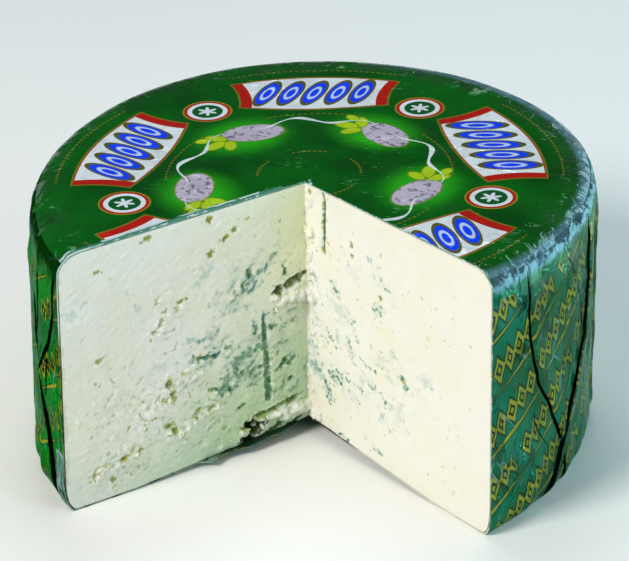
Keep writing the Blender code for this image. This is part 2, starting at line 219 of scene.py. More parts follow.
# Leaf-like patches of mould round old openings in the curd, outlined darker than they are filled:
# (along, height, half length, half width, lean in degrees, bloom, outline)
MOULD_LEAVES = (
    (23.3, 70.3, 3.6, 2.0, -20.0, 0.50, 0.15),
    (38.2, 84.0, 4.0, 1.6, -50.0, 0.33, 0.09),
    (36.4, 74.2, 8.4, 0.5, -38.0, 0.44, 0.37),
    (14.6, 60.5, 3.8, 2.2, -52.0, 0.66, 0.34),
    (35.3, 61.0, 3.6, 2.0, 78.0, 0.83, 0.40),
    (21.2, 52.3, 3.0, 2.4, -60.0, 0.66, 0.28),
    (12.0, 41.6, 5.6, 0.8, -54.0, 0.61, 0.40),
    (24.2, 48.0, 3.4, 1.4, -62.0, 0.55, 0.31),
    (21.6, 40.6, 4.6, 1.7, -66.0, 0.66, 0.34),
    (2.6, 33.0, 4.4, 2.4, 84.0, 0.88, 0.43),
    (36.7, 43.4, 3.4, 2.6, 70.0, 0.61, 0.25),
    (42.1, 46.6, 3.2, 1.7, 60.0, 0.66, 0.25),
    (51.5, 49.7, 1.8, 1.2, 0.0, 0.44, 0.09),
    (31.2, 38.6, 4.6, 0.5, -14.0, 0.44, 0.43),
    (14.6, 27.3, 3.6, 2.8, 20.0, 1.00, 0.85),
    (10.1, 19.7, 3.8, 1.8, -72.0, 1.00, 0.85),
    (24.5, 28.2, 5.2, 0.5, -6.0, 0.39, 0.43),
    (33.5, 31.4, 3.2, 1.7, -40.0, 0.72, 0.34),
    (38.0, 29.5, 2.2, 1.2, -50.0, 0.66, 0.31),
    (48.6, 39.4, 3.0, 1.3, -46.0, 0.94, 0.53),
    (59.0, 44.4, 3.6, 2.2, -14.0, 0.83, 0.22),
    (23.2, 23.6, 2.2, 3.0, 0.0, 0.61, 0.15),
    (37.8, 21.7, 2.4, 2.6, 0.0, 0.72, 0.25),
    (46.2, 27.3, 2.6, 4.6, 0.0, 0.66, 0.12),
    (4.4, 47.0, 4.0, 1.4, -70.0, 0.61, 0.31),
    (35.3, 7.4, 2.8, 0.9, -10.0, 0.99, 0.40),
    (70.4, 33.0, 2.6, 2.4, 0.0, 0.33, 0.06),
    (18.0, 5.2, 3.0, 0.8, -10.0, 0.99, 0.50),
    (-22.8, 65.8, 3.4, 1.6, 64.0, 0.85, 0.72),
    (-25.8, 60.4, 2.6, 1.6, 30.0, 0.75, 0.51),
    (-29.6, 57.6, 2.6, 1.8, 20.0, 0.90, 0.26),
    (-38.0, 48.6, 3.6, 1.2, 10.0, 0.85, 0.51),
    (-37.0, 41.0, 3.6, 2.0, 24.0, 0.95, 0.72),
    (-44.0, 41.5, 2.4, 1.2, 10.0, 0.70, 0.51),
    (-20.6, 46.8, 2.8, 1.2, 80.0, 0.55, 0.51),
    (-13.2, 44.8, 2.2, 1.2, 10.0, 0.60, 0.68),
    (-22.2, 26.8, 2.4, 1.4, 50.0, 0.80, 0.72),
    (-33.4, 27.0, 3.6, 2.0, 58.0, 0.85, 0.68),
    (-27.8, 31.6, 3.4, 1.6, 70.0, 0.90, 0.64),
    (-9.2, 22.2, 2.2, 1.4, 30.0, 0.65, 0.68),
    (-9.0, 29.8, 3.6, 1.0, 16.0, 0.80, 0.81),
    (-57.0, 43.0, 2.6, 1.4, 30.0, 0.60, 0.30),
)

# The torn foot of the left face, filled with the pore's dark colour as painted shade in its hollow, as
# (along, height, half width, half height) in mm
TORN_FOOT = ((-20.2, 7.6, 4.8, 2.6), (-25.4, 5.0, 4.0, 1.7), (-13.5, 6.0, 7.0, 1.1), (-5.5, 5.9, 5.0, 0.9))

# Single stains of mould: (along, height, half length, half width, lean in degrees, bloom, mould)
MOULD_STAINS = (
    (-24.0, 36.0, 5.0, 2.6, 34.0, 0.8, 0.10),
    (-31.0, 31.0, 3.4, 2.4, 40.0, 0.8, 0.15),
    (-38.4, 72.4, 4.4, 1.2, 38.0, 0.80, 0.10),
    (-42.0, 69.2, 2.2, 0.9, 30.0, 0.80, 0.15),
    (-40.0, 48.4, 3.6, 0.9, 8.0, 0.95, 0.45),
    (-45.0, 49.4, 2.2, 0.7, 8.0, 0.85, 0.40),
    (-29.4, 57.9, 2.6, 1.5, 30.0, 0.85, 0.15),
    (-88.4, 72.2, 2.0, 1.6, 40.0, 0.75, 0.20),
    (-83.0, 74.8, 1.6, 0.6, 30.0, 0.70, 0.40),
    (-67.4, 74.0, 1.6, 0.9, 60.0, 0.60, 0.10),
    (-63.6, 66.6, 1.8, 0.8, 30.0, 0.65, 0.25),
    (-44.6, 33.6, 2.4, 0.9, 20.0, 0.85, 0.20),
    (-74.4, 33.6, 3.2, 1.6, 30.0, 0.45, 0.12),
    (-74.2, 23.4, 2.6, 1.4, 20.0, 0.45, 0.15),
    (-6.0, 48.6, 3.4, 0.7, 16.0, 0.70, 0.55),
    (-6.6, 44.6, 3.0, 0.5, 8.0, 0.60, 0.55),
    (-8.0, 31.6, 2.6, 0.8, 20.0, 0.60, 0.60),
    (-9.4, 23.0, 1.8, 1.0, 40.0, 0.60, 0.60),
)

# Crumbly ledges low on the left face, as chains of (along, height) in mm, and their height
CURD_LEDGES = (
    (((-42.0, 38.0), (-47.0, 36.5), (-52.0, 33.0), (-57.0, 31.5), (-60.0, 28.0)), 0.9),
    (((-48.0, 64.0), (-54.0, 61.0), (-57.0, 55.5), (-61.0, 53.0)), 0.8),
    (((-34.0, 24.0), (-40.0, 20.5), (-47.0, 19.5), (-55.0, 16.0)), 0.9),
    (((-66.0, 16.0), (-72.0, 13.5), (-79.0, 12.5), (-85.0, 9.0)), 0.9),
    (((-28.0, 30.0), (-34.0, 27.5), (-39.0, 28.0)), 0.7),
)

# Fine mustard cracks between the flakes of curd on the left face, as chains of (along, height) in mm
CURD_CRACKS = (
    ((-56.8, 20.1), (-54.4, 22.3), (-53.3, 22.7)),
    ((-54.5, 20.4), (-52.4, 16.2), (-52.1, 15.0)),
    ((-55.9, 30.1), (-53.4, 31.4), (-51.6, 33.2)),
    ((-65.4, 28.4), (-64.1, 25.6), (-60.4, 24.4), (-57.0, 24.0)),
    ((-74.2, 10.7), (-72.6, 13.6), (-70.7, 13.0)),
    ((-77.2, 7.5), (-75.7, 4.8)),
    ((-79.6, 52.2), (-76.2, 53.8)),
    ((-75.1, 44.4), (-73.6, 42.8)),
    ((-38.8, 14.9), (-35.3, 16.2), (-32.7, 16.7), (-32.0, 15.1)),
    ((-55.6, 52.6), (-52.4, 53.2)),
    ((-55.1, 47.6), (-51.0, 47.7), (-49.7, 50.7)),
    ((-67.7, 14.6), (-64.3, 14.6)),
    ((-87.3, 30.5), (-85.9, 32.3)),
)

# The foil's tucks, which lean: (angle, height) pairs from top to bottom
LEANING_TUCKS = (
    ((56.0, 0.090), (57.0, 0.0675), (60.0, 0.0485), (64.5, 0.0370), (70.0, 0.0205), (72.0, 0.0)),
    ((84.0, 0.092), (84.5, 0.0670), (82.0, 0.0475), (78.0, 0.0410), (73.0, 0.0230), (64.0, 0.0)),
)

# The other tucks, nearly upright, in degrees from -Y; a tuck hides this much of the print, in mm
TUCK_COUNT = 21
TUCK_FIRST, TUCK_LAST = 98.0, 312.0
TUCK_SCATTER = 0.25
TUCK_LEAN = 4.0
TUCK_CLIMB = 1.1
TUCK_FADE = 7.0
TUCK_HIDES = 6.0
TUCK_SEED = 7

# Width in mm of each tuck's dark line at its top and bottom, and how far off the line it is sought
LEANING_WIDTHS = ((0.8, 1.4), (1.3, 3.0))
TUCK_WIDTHS = (0.2, 0.6)
CREASE_NEAR = 3.6

# Heights of the foil's small folds: side, shoulder, heel, top, and the curl along the cut's edge
SIDE_FACET, SIDE_RIDGE, SIDE_SOFT, SIDE_CRINKLE = 0.00038, 0.00020, 0.00024, 0.00022
SHOULDER_FACET, SHOULDER_FINE = 0.00042, 0.00018
HEEL_GATHER, HEEL_FACET, GATHER_COUNT = 0.0006, 0.0005, 44
TOP_RIPPLE, TOP_FACET = 0.00030, 0.00008
CURL_RISE, CURL_REACH = 0.0008, 0.0030

# Near a cut, where the foil's edge shows, its inside has more points and follows the folds
EDGE_ANGLE, EDGE_STEPS = 0.12, 25
EDGE_REACH, EDGE_FADE = 0.007, 0.003

# The torn lip of the base under the left cut
LIP_START, LIP_END = 0.004, 0.044
LIP_TEETH = 9
LIP_REACH, LIP_SHORTEST = 0.0035, 0.35
LIP_LEVEL, LIP_OVERLAP = 0.020, 0.0001
LIP_SEED = 3

# The round print: five banners, the first this far round from -Y, and the inks used more than once
BANNERS = 5
PRINT_TURN = math.radians(43)
WHITE_INK = "#e3edf2"
RED_INK = "#b81c12"

# Small pieces of curd round each lump, and how far off they lie as a share of its half size
CRUMBLED = 4
CRUMBLE_REACH = 1.0

# Loose curd is scattered over every so many points of the cut grid
PATCH_STEP = 3

# Pressed creases without a step: (angle, height) pairs from top to bottom, then the dark line's
# width in mm at its top and at its bottom
CREASES = (
    (((70.1, 0.0874), (72.9, 0.0799), (77.3, 0.0701), (79.5, 0.0622), (81.3, 0.0483)), 0.3, 0.8),
    (((74.5, 0.0540), (72.3, 0.0316), (70.5, 0.0142)), 0.2, 0.4),
    (((59.7, 0.0345), (61.7, 0.0281), (64.9, 0.0210)), 0.5, 0.3),
    (((-63.0, 0.0660), (-62.0, 0.0500), (-58.9, 0.0417), (-55.5, 0.0319), (-53.1, 0.0218), (-51.7, 0.0126),
      (-50.6, 0.0030)), 2.2, 6.0),
    (((-47.9, 0.0860), (-49.1, 0.0720), (-53.3, 0.0565), (-58.7, 0.0436)), 2.4, 2.0),
    (((-56.9, 0.0811), (-57.3, 0.0682), (-58.3, 0.0568)), 1.0, 1.0),
    (((-53.1, 0.0520), (-54.9, 0.0357)), 1.5, 0.8),
)

# The lamps: azimuth and elevation in degrees, distance, width and height in m, power in W, colour
LAMPS = {
    "key": (-42, 40, 1.1, 0.40, 0.40, 9.5, "#fff9f4"),
    "fill": (62, 28, 1.2, 0.90, 0.90, 4.4, "#cdedf7"),
    "back": (120, 13, 1.2, 1.80, 0.62, 12.6, "#aed0da"),
    "top": (-170, 62, 1.1, 0.50, 0.50, 3.0, "#f2f8ff"),
}
WORLD_COLOUR, WORLD_STRENGTH = "#c4d4d4", 0.18
FLOOR_COLOUR, FLOOR_REACH = "#f6f6f4", 3.0
SENSOR_WIDTH = 36.0


def linear(code):
    """A linear colour, opaque, from an sRGB hex code."""
    parts = [int(code[place:place + 2], 16) / 255 for place in (1, 3, 5)]
    values = [part / 12.92 if part <= 0.04045 else ((part + 0.055) / 1.055) ** 2.4 for part in parts]
    return (*values, 1.0)


# The kinds of node used over and over: each one's type, its inputs, its output and its settings.
# "lay" puts a share of the second colour over the first, "step" is a soft step from 0 to 1 between
# two values, "kept" reads a number kept on the mesh, "place" is the piece's own coordinates in m
KINDS = {
    "lay": ("ShaderNodeMix", (0, 6, 7), 2, {"data_type": "RGBA"}),
    "step": ("ShaderNodeMapRange", (0, 1, 2), 0, {"interpolation_type": "SMOOTHSTEP"}),
    "grains": ("ShaderNodeTexNoise", ("Vector", "Scale", "Detail", "Roughness"), 0, {}),
    "kept": ("ShaderNodeAttribute", ("attribute_name",), 2, {}),
    "place": ("ShaderNodeTexCoord", (), 3, {}),
}
ALL = slice(None)


def node(tree, kind, inputs=(), out=None, **settings):
    """Adds a node with its settings and inputs, by place or by name; hands back an output, or ALL."""
    kind, places, usual, always = KINDS.get(kind, (kind, range(len(inputs)), 0, {}))
    made = tree.nodes.new(kind)
    for name, value in (always | settings).items():
        setattr(made, name, value)
    pairs = inputs.items() if isinstance(inputs, dict) else zip(places, inputs)
    for place, value in pairs:
        if isinstance(value, str):
            setattr(made, place, value)
        elif isinstance(value, bpy.types.NodeSocket):
            tree.links.new(value, made.inputs[place])
        elif value is not None:
            made.inputs[place].default_value = value
    return made.outputs[usual if out is None else out] if made.outputs else made


# The Math operations that a formula's signs and words stand for
SIGNS = {ast.Add: "ADD", ast.Sub: "SUBTRACT", ast.Mult: "MULTIPLY", ast.Div: "DIVIDE"}
WORDS = {
    "abs": "ABSOLUTE", "min": "MINIMUM", "max": "MAXIMUM", "sin": "SINE", "cos": "COSINE",
    "atan2": "ARCTAN2", "sqrt": "SQRT", "floor": "FLOOR", "mod": "FLOORED_MODULO",
}


def formula(tree, text, **fields):
    """Adds the nodes of a formula, and hands back its socket.

    Its names are sockets or numbers, and its words are Math operations or the kinds above."""

    def build(part):
        if isinstance(part, ast.Constant):
            return part.value
        if isinstance(part, ast.Name):
            return fields[part.id]
        if isinstance(part, ast.UnaryOp):
            return -part.operand.value
        if isinstance(part, ast.BinOp):
            values = (build(part.left), build(part.right))
            return node(tree, "ShaderNodeMath", values, operation=SIGNS[type(part.op)])
        values = [build(value) for value in part.args]
        if part.func.id in KINDS:
            return node(tree, part.func.id, values)
        result = values[0]
        for value in values[1:] or [None]:
            result = node(tree, "ShaderNodeMath", (result, value), operation=WORDS[part.func.id])
        return result

    return build(ast.parse(text).body[0].value)


# ------------------ the wheel's form


def uneven(angle):
    """The plan's radius at these angles, as a share of the turned wheel's."""
    oval = OVAL_COS * np.cos(2 * angle) + OVAL_SIN * np.sin(2 * angle)
    lobe = LOBE_COS * np.cos(3 * angle) + LOBE_SIN * np.sin(3 * angle)
    return 1 + oval + lobe


def settle(points):
    """Where points of the turned wheel lie on the hand-made one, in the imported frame."""
    x, y, z = points.T
    share = z / WHEEL_HEIGHT
    low = 1 - share
    scale = uneven(np.arctan2(x, -y))
    dish = np.maximum(0.0, 1 - np.hypot(x, y) / FOOT_INNER_RADIUS)
    lifted = z + share * share * TOP_SLOPE * x * scale + low * low * BASE_DISH * dish
    return np.column_stack((x * scale + BASE_SHIFT_X * low, y * scale, lifted)) + AXIS


def arc(centre, run, rise, steps, first, last):
    """Points of an elliptic arc, both ends included, with angles in degrees from +X."""
    angles = np.radians(np.linspace(first, last, steps + 1))
    return [(centre[0] + run * math.cos(a), centre[1] + rise * math.sin(a)) for a in angles]


def spread(start, end, steps):
    """Points evenly between two points, without either."""
    return [tuple(np.array(start) + (np.array(end) - np.array(start)) * i / steps) for i in range(1, steps)]


def wheel_profile(inset, top_rings, arc_rings, side_rings, base_rings):
    """Half section of the wheel, this far inside the foil's outer face, from top to base."""
    top = WHEEL_HEIGHT - inset
    rim = WHEEL_RADIUS - inset
    heel = rim + BASE_FLARE
    shoulder = arc((rim - SHOULDER_RUN, top - SHOULDER_DROP), SHOULDER_RUN, SHOULDER_DROP, arc_rings, 90, 0)
    turn = arc((heel - HEEL_RUN, inset + HEEL_RISE), HEEL_RUN, HEEL_RISE, arc_rings, 0, -90)
    foot = (FOOT_INNER_RADIUS, inset)
    points = [(0.0, top)] + spread((0.0, top), shoulder[0], top_rings) + shoulder
    points += spread(shoulder[-1], turn[0], side_rings) + turn
    points += spread(turn[-1], foot, base_rings) + [foot] + spread(foot, (0.0, inset), base_rings)
    return np.array(points + [(0.0, inset)])


def even_turn(steps):
    """Angles evenly round the wheel."""
    return np.linspace(0, math.tau, steps, endpoint=False)


def turned_shape(profile, angles):
    """Points and faces of a closed shape turned about Z: poles first and last, rings between."""
    rings = profile[1:-1]
    steps = len(angles)
    radius, height = rings[:, :1], rings[:, 1:]
    grid = np.stack((radius * np.sin(angles), -radius * np.cos(angles), height + 0 * angles), axis=-1)
    points = np.vstack(([(0, 0, profile[0, 1])], grid.reshape(-1, 3), [(0, 0, profile[-1, 1])]))
    here = 1 + np.arange(steps)
    there = 1 + (np.arange(steps) + 1) % steps
    last = len(points) - 1
    faces = [(0, a, b) for a, b in zip(here, there)]
    for ring in range(len(rings) - 1):
        lift = ring * steps
        faces += [(a + lift, a + lift + steps, b + lift + steps, b + lift) for a, b in zip(here, there)]
    lift = (len(rings) - 1) * steps
    faces += [(a + lift, last, b + lift) for a, b in zip(here, there)]
    return points, faces


def new_object(name, points, faces):
    """A mesh object in the scene, with its faces pointing out."""
    mesh = bpy.data.meshes.new(name)
    mesh.from_pydata(points.tolist(), [], [tuple(map(int, face)) for face in faces])
    shape = bmesh.new()
    shape.from_mesh(mesh)
    bmesh.ops.recalc_face_normals(shape, faces=shape.faces)
    shape.to_mesh(mesh)
    shape.free()
    obj = bpy.data.objects.new(name, mesh)
    bpy.context.scene.collection.objects.link(obj)
    return obj


def mesh_points(mesh):
    """The points of a mesh as an array."""
    flat = np.empty(len(mesh.vertices) * 3, np.float32)
    mesh.vertices.foreach_get("co", flat)
    return flat.reshape(-1, 3).astype(float)


def make_plain(obj):
    """Turns what an object's modifiers make into its own mesh."""
    graph = bpy.context.evaluated_depsgraph_get()
    obj.data = bpy.data.meshes.new_from_object(obj.evaluated_get(graph))
    obj.modifiers.clear()


def carve(obj, *cutters, operation="DIFFERENCE"):
    """Takes each cutter away from an object, or adds it, and removes the cutters."""
    for cutter in cutters:
        step = obj.modifiers.new("cut", "BOOLEAN")
        step.operation = operation
        step.solver = "MANIFOLD"
        step.object = cutter
    make_plain(obj)
    for cutter in cutters:
        bpy.data.objects.remove(cutter)


# ------------------ the cut faces


def face_frames(along):
    """Level direction and outward direction of the cut at each place along the unfolded faces."""
    angle = np.where(along < 0, LEFT_ANGLE, RIGHT_ANGLE)
    run = np.stack((np.sin(angle), -np.cos(angle)), axis=-1)
    facing = np.where(along < 0, 1.0, -1.0)
    out = np.stack((np.cos(angle) * facing, np.sin(angle) * facing), axis=-1)
    share = np.clip(np.abs(along) / (CORNER_BLEND * MM), 0, 1)[..., None]
    out = out * share + np.array((0.0, -1.0)) * (1 - share)
    return run, out / np.linalg.norm(out, axis=-1, keepdims=True)


def face_points(along, height, proud):
    """Points of the cut faces, in metres, this far proud of the cut."""
    run, out = face_frames(along)
    flat = APEX[:2] + run * np.abs(along)[..., None] + out * proud[..., None]
    return np.concatenate((flat, height[..., None]), axis=-1)


def unfold(points):
    """Along, height and distance from the cut, for points near the cut faces."""
    flat = points[:, :2] - APEX[:2]
    best = None
    for angle, sign in ((LEFT_ANGLE, -1.0), (RIGHT_ANGLE, 1.0)):
        run = np.array((math.sin(angle), -math.cos(angle)))
        out = np.array((math.cos(angle), math.sin(angle))) * -sign
        along, off = flat @ run, flat @ out
        found = np.stack((along * sign, points[:, 2], np.where(along > -BEHIND_CORNER, off, 1.0)), axis=-1)
        best = found if best is None else np.where(
            (np.abs(found[:, 2]) < np.abs(best[:, 2]))[:, None], found, best)
    return best


def rim_reach(along):
    """How far the cut runs out to the foil, in metres, on the side that along is on."""
    angle = np.where(along < 0, LEFT_ANGLE, RIGHT_ANGLE)
    lead = (AXIS[0] - APEX[0]) * np.sin(angle) - (AXIS[1] - APEX[1]) * np.cos(angle)
    return WHEEL_RADIUS * uneven(angle) + lead


def smoothed(field, passes):
    """A field evened out with its neighbours."""
    for _ in range(passes):
        field = np.pad(field, 1, mode="edge")
        field = (field[:-2] + 2 * field[1:-1] + field[2:]) / 4
        field = (field[:, :-2] + 2 * field[:, 1:-1] + field[:, 2:]) / 4
    return field


class CutGrid:
    """The two cut faces unfolded into one grid, in mm, on which relief and growth are drawn."""

    FIELDS = ("proud", "bloom", "mould", "olive", "pore", "lip")

    def __init__(self, step):
        self.step = step / MM
        self.reach = FACE_REACH / MM
        self.bottom = -CUTTER_MARGIN / MM
        self.top = (WHEEL_HEIGHT + CUTTER_MARGIN) / MM
        columns = 2 * round(self.reach / self.step)
        rows = round((self.top - self.bottom) / self.step)
        self.along_line = np.linspace(-self.reach, self.reach, columns + 1)
        self.height_line = np.linspace(self.bottom, self.top, rows + 1)
        self.along, self.height = np.meshgrid(self.along_line, self.height_line)
        for field in self.FIELDS:
            setattr(self, field, np.zeros_like(self.along))
        self.wobble = self.noise(1.6, 3.1, octaves=2)

    def noise(self, size, seed, lean=0.0, stretch=1.0, octaves=1):
        """Smooth noise of this size in mm; lean and stretch draw it out along a slant."""
        c, s = math.cos(lean), math.sin(lean)
        a = (self.along * c + self.height * s) / (size * stretch)
        b = (self.height * c - self.along * s) / size
        pairs = zip(a.ravel().tolist(), b.ravel().tolist())
        if octaves > 1:
            values = [noise.fractal((p, q, seed), 0.9, 2.1, octaves) for p, q in pairs]
        else:
            values = [noise.noise((p, q, seed)) for p, q in pairs]
        return np.array(values).reshape(a.shape)

    def stamp(self, name, along, height, wide, tall, lean, value, rough=0.3, sharp=1.0):
        """Raises or sinks one uneven oval patch of a field."""
        reach = 1.6 * max(wide, tall)
        first, last = np.searchsorted(self.along_line, (along - reach, along + reach))
        low, high = np.searchsorted(self.height_line, (height - reach, height + reach))
        if last - first < 1 or high - low < 1:
            return
        spot = (slice(low, high), slice(first, last))
        c, s = math.cos(lean), math.sin(lean)
        dx, dy = self.along[spot] - along, self.height[spot] - height
        q = np.hypot((dx * c + dy * s) / wide, (dy * c - dx * s) / tall)
        q = q * (1 + rough * self.wobble[spot] * 1.6)
        share = np.clip(1 - q * q, 0, 1) ** sharp
        field = getattr(self, name)
        if name == "proud":
            field[spot] += value * share
        else:
            field[spot] = np.maximum(field[spot], value * share)


def streak_lean(along):
    """The slant of streaks: they rise towards the corner on the left, and fall away on the right."""
    return math.radians(30) if along < 0 else math.radians(-47)


def draw_crumb(grid):
    """The cut's own surface: broken curd, knife drag and fine grain, coarser low on the left."""
    left = grid.along < 0
    broad = grid.noise(22.0, 1.0)
    crumb = grid.noise(6.0, 2.0, octaves=3)
    drag_left = grid.noise(1.1, 5.0, lean=streak_lean(-1), stretch=5.0)
    drag_right = grid.noise(1.1, 6.0, lean=streak_lean(1), stretch=6.0)
    grain = grid.noise(1.3, 8.0, octaves=2)
    patchy = np.clip(grid.noise(9.0, 9.0) * 2.2 + 0.5, 0, 1)
    low = np.clip(1 - grid.height / 60, 0, 1)
    grid.proud += 0.30 * broad
    grid.proud += np.where(left, 0.24 + 0.28 * low, 0.13) * crumb
    grid.proud += np.where(left, 0.25 * drag_left, 0.12 * drag_right) * (0.3 + patchy)
    grid.proud += np.where(left, 0.16 + 0.16 * low, 0.09) * grain * (0.4 + patchy)
    grid.bloom += np.where(left, 0.5 * np.clip(1.2 - grid.height / 34, 0, 1), 0.0)
    corner = np.clip(1 - np.abs(grid.along - 1.5) / 5.5, 0, 1)
    grid.proud += 0.75 * corner * grid.noise(2.8, 12.0, octaves=2)


def mark_spot(grid, draw, along, height, lean, strength):
    """One spot of mould: a pale bloom, a denser heart and, in half of them, a pit."""
    length = draw.lognormvariate(0.10, 0.42)
    width = length * draw.uniform(0.40, 0.75)
    grid.stamp("bloom", along, height, length * 2.0 + 0.9, width * 2.0 + 0.9, lean, strength, rough=0.7)
    grid.stamp("mould", along, height, length * 1.35, width * 1.25, lean,
               strength * draw.uniform(0.5, 1.1), rough=0.8, sharp=0.9)
    if draw.random() < 0.45:
        depth = draw.uniform(0.15, 0.5)
        grid.stamp("proud", along, height, length * 0.9, width * 0.9, lean, -depth, rough=0.6)
        grid.stamp("pore", along, height, length * 0.7, width * 0.5, lean,
                   strength * draw.uniform(0.2, 0.8), rough=0.8)
    if draw.random() < 0.35:
        grid.stamp("olive", along + 0.5, height - 0.5, length, width, lean,
                   strength * draw.uniform(0.3, 0.8), rough=0.8)


def draw_growth(grid, draw, share):
    """The mould: slanting streaks of spots in patches, and single stains."""
    for along, height, wide, tall, streaks, strength in GROWTH_PATCHES:
        for _ in range(round(streaks * share)):
            a, h = draw.gauss(along, wide * 0.6), draw.gauss(height, tall * 0.6)
            lean = streak_lean(along) + draw.gauss(0, 0.3)
            force = strength * draw.uniform(0.5, 1.1)
            for _ in range(draw.randint(2, 6)):
                if a * along > 0 and 5 < h < 91:
                    mark_spot(grid, draw, a, h, lean, force * draw.uniform(0.6, 1.1))
                step = draw.uniform(1.2, 2.2)
                a += step * math.cos(lean) + draw.gauss(0, 0.25)
                h += step * math.sin(lean) + draw.gauss(0, 0.35)
    for along, height, wide, tall, lean, bloom, mould in MOULD_STAINS:
        lean = math.radians(lean)
        grid.stamp("bloom", along, height, wide * 1.3, tall * 1.6, lean, bloom, rough=0.7, sharp=0.8)
        grid.stamp("mould", along, height, wide, tall, lean, mould, rough=0.7, sharp=0.6)
        for _ in range(round(1.2 * wide * tall * mould)):
            run, off = draw.gauss(0, wide * 0.45), draw.gauss(0, tall * 0.45)
            mark_spot(grid, draw, along + run * math.cos(lean) - off * math.sin(lean),
                      height + run * math.sin(lean) + off * math.cos(lean), lean, mould)


def mark_leaf(grid, draw, along, height, wide, tall, lean, bloom, outline):
    """One patch of mould: a pale filling, a broken dark outline with cross veins, and pits on it.

    Outlines are crisper, and fillings paler, on the right."""
    crisp = 1.3 if along > 0 else 1.0
    outline *= crisp
    grid.stamp("bloom", along, height, wide * 1.25, tall * 1.35, lean, bloom / crisp, rough=0.6, sharp=0.6)
    grid.stamp("mould", along, height, wide, tall, lean, 0.30 * outline / crisp, rough=0.8, sharp=0.6)
    turn = draw.uniform(0, 6)
    steps = round(3.2 * (wide + tall))
    places = [(0.86, math.tau * step / steps) for step in range(steps)]
    places += [(draw.uniform(0.0, 0.6), draw.uniform(0, math.tau)) for _ in range(round(wide * tall))]
    for share, angle in places:
        force = outline * (0.75 + 0.5 * math.sin(angle * 2 + turn) + draw.uniform(-0.35, 0.35))
        if force < 0.2:
            continue
        share *= draw.uniform(0.8, 1.15)
        x, y = wide * share * math.cos(angle), tall * share * math.sin(angle)
        a = along + x * math.cos(lean) - y * math.sin(lean)
        h = height + x * math.sin(lean) + y * math.cos(lean)
        tilt = lean + draw.gauss(0, 0.5)
        size = draw.uniform(0.5, 1.0)
        grid.stamp("mould", a, h, size, size * 0.5, tilt, min(1.0, force * 1.3), rough=0.8, sharp=0.7)
        if draw.random() < 0.3:
            grid.stamp("olive", a, h - 0.3, size, size * 0.5, tilt, min(1.0, force * 1.3), rough=0.8)
        if draw.random() < 0.3 * force:
            grid.stamp("pore", a, h, size * 0.7, size * 0.4, tilt, min(1.0, force), rough=0.7)
            grid.stamp("proud", a, h, size, size * 0.6, tilt, -0.35, rough=0.6)
            grid.stamp("proud", a + 0.3, h - size, size * 1.4, size * 0.5, tilt, 0.22, rough=0.7)


def steps_along(chain, step):
    """Places this far apart in mm along a chain of points, each with the slant of the chain there."""
    for start, end in zip(chain, chain[1:]):
        way = np.array(end) - start
        for part in np.arange(0, 1, step / math.hypot(way[0], way[1])):
            yield start + way * part, math.atan2(way[1], way[0])


def draw_leaves(grid, draw):
    """The leaf-like patches of mould."""
    for along, height, wide, tall, lean, bloom, outline in MOULD_LEAVES:
        mark_leaf(grid, draw, along, height, wide, tall, math.radians(lean), bloom, outline)


def draw_smears(grid, draw):
    """Smears of mould along a bend, darker at their edges."""
    for chain in MOULD_SMEARS:
        for (a, h, wide), lean in steps_along(chain, 0.7):
            grid.stamp("mould", a, h, 1.5, wide * draw.uniform(0.9, 1.1), lean, draw.uniform(0.55, 0.75),
                       rough=0.5, sharp=0.5)
            grid.stamp("bloom", a, h, 2.2, wide * 1.7, lean, 1.0, rough=0.7)
            if draw.random() < 0.5:
                off = wide * draw.choice((-0.85, 0.85))
                grid.stamp("mould", a - off * math.sin(lean), h + off * math.cos(lean), 1.1, 0.35, lean,
                           1.0, rough=0.6)


def draw_pit_rows(grid, draw):
    """The dark pits in rows beside the needle's track, each with a raised lip below it."""
    for start, end, strength in PIT_ROWS:
        for (a, h), lean in steps_along((start, end), 0.75):
            a += draw.gauss(0, 0.25)
            h += draw.gauss(0, 0.35)
            size = draw.uniform(0.35, 0.85)
            dark = strength * draw.uniform(0.3, 1.0)
            grid.stamp("bloom", a, h, size * 2.6, size * 2.2, lean, 0.7 * strength, rough=0.8)
            grid.stamp("mould", a, h, size * 1.5, size, lean, strength, rough=0.8, sharp=0.7)
            grid.stamp("pore", a, h, size * 0.9, size * 0.6, lean, dark, rough=0.7)
            grid.stamp("proud", a, h, size, size * 0.7, lean, -0.5 * strength, rough=0.6)
            grid.stamp("proud", a + 0.3, h - size, size * 1.5, size * 0.5, lean, 0.3 * strength, rough=0.7)


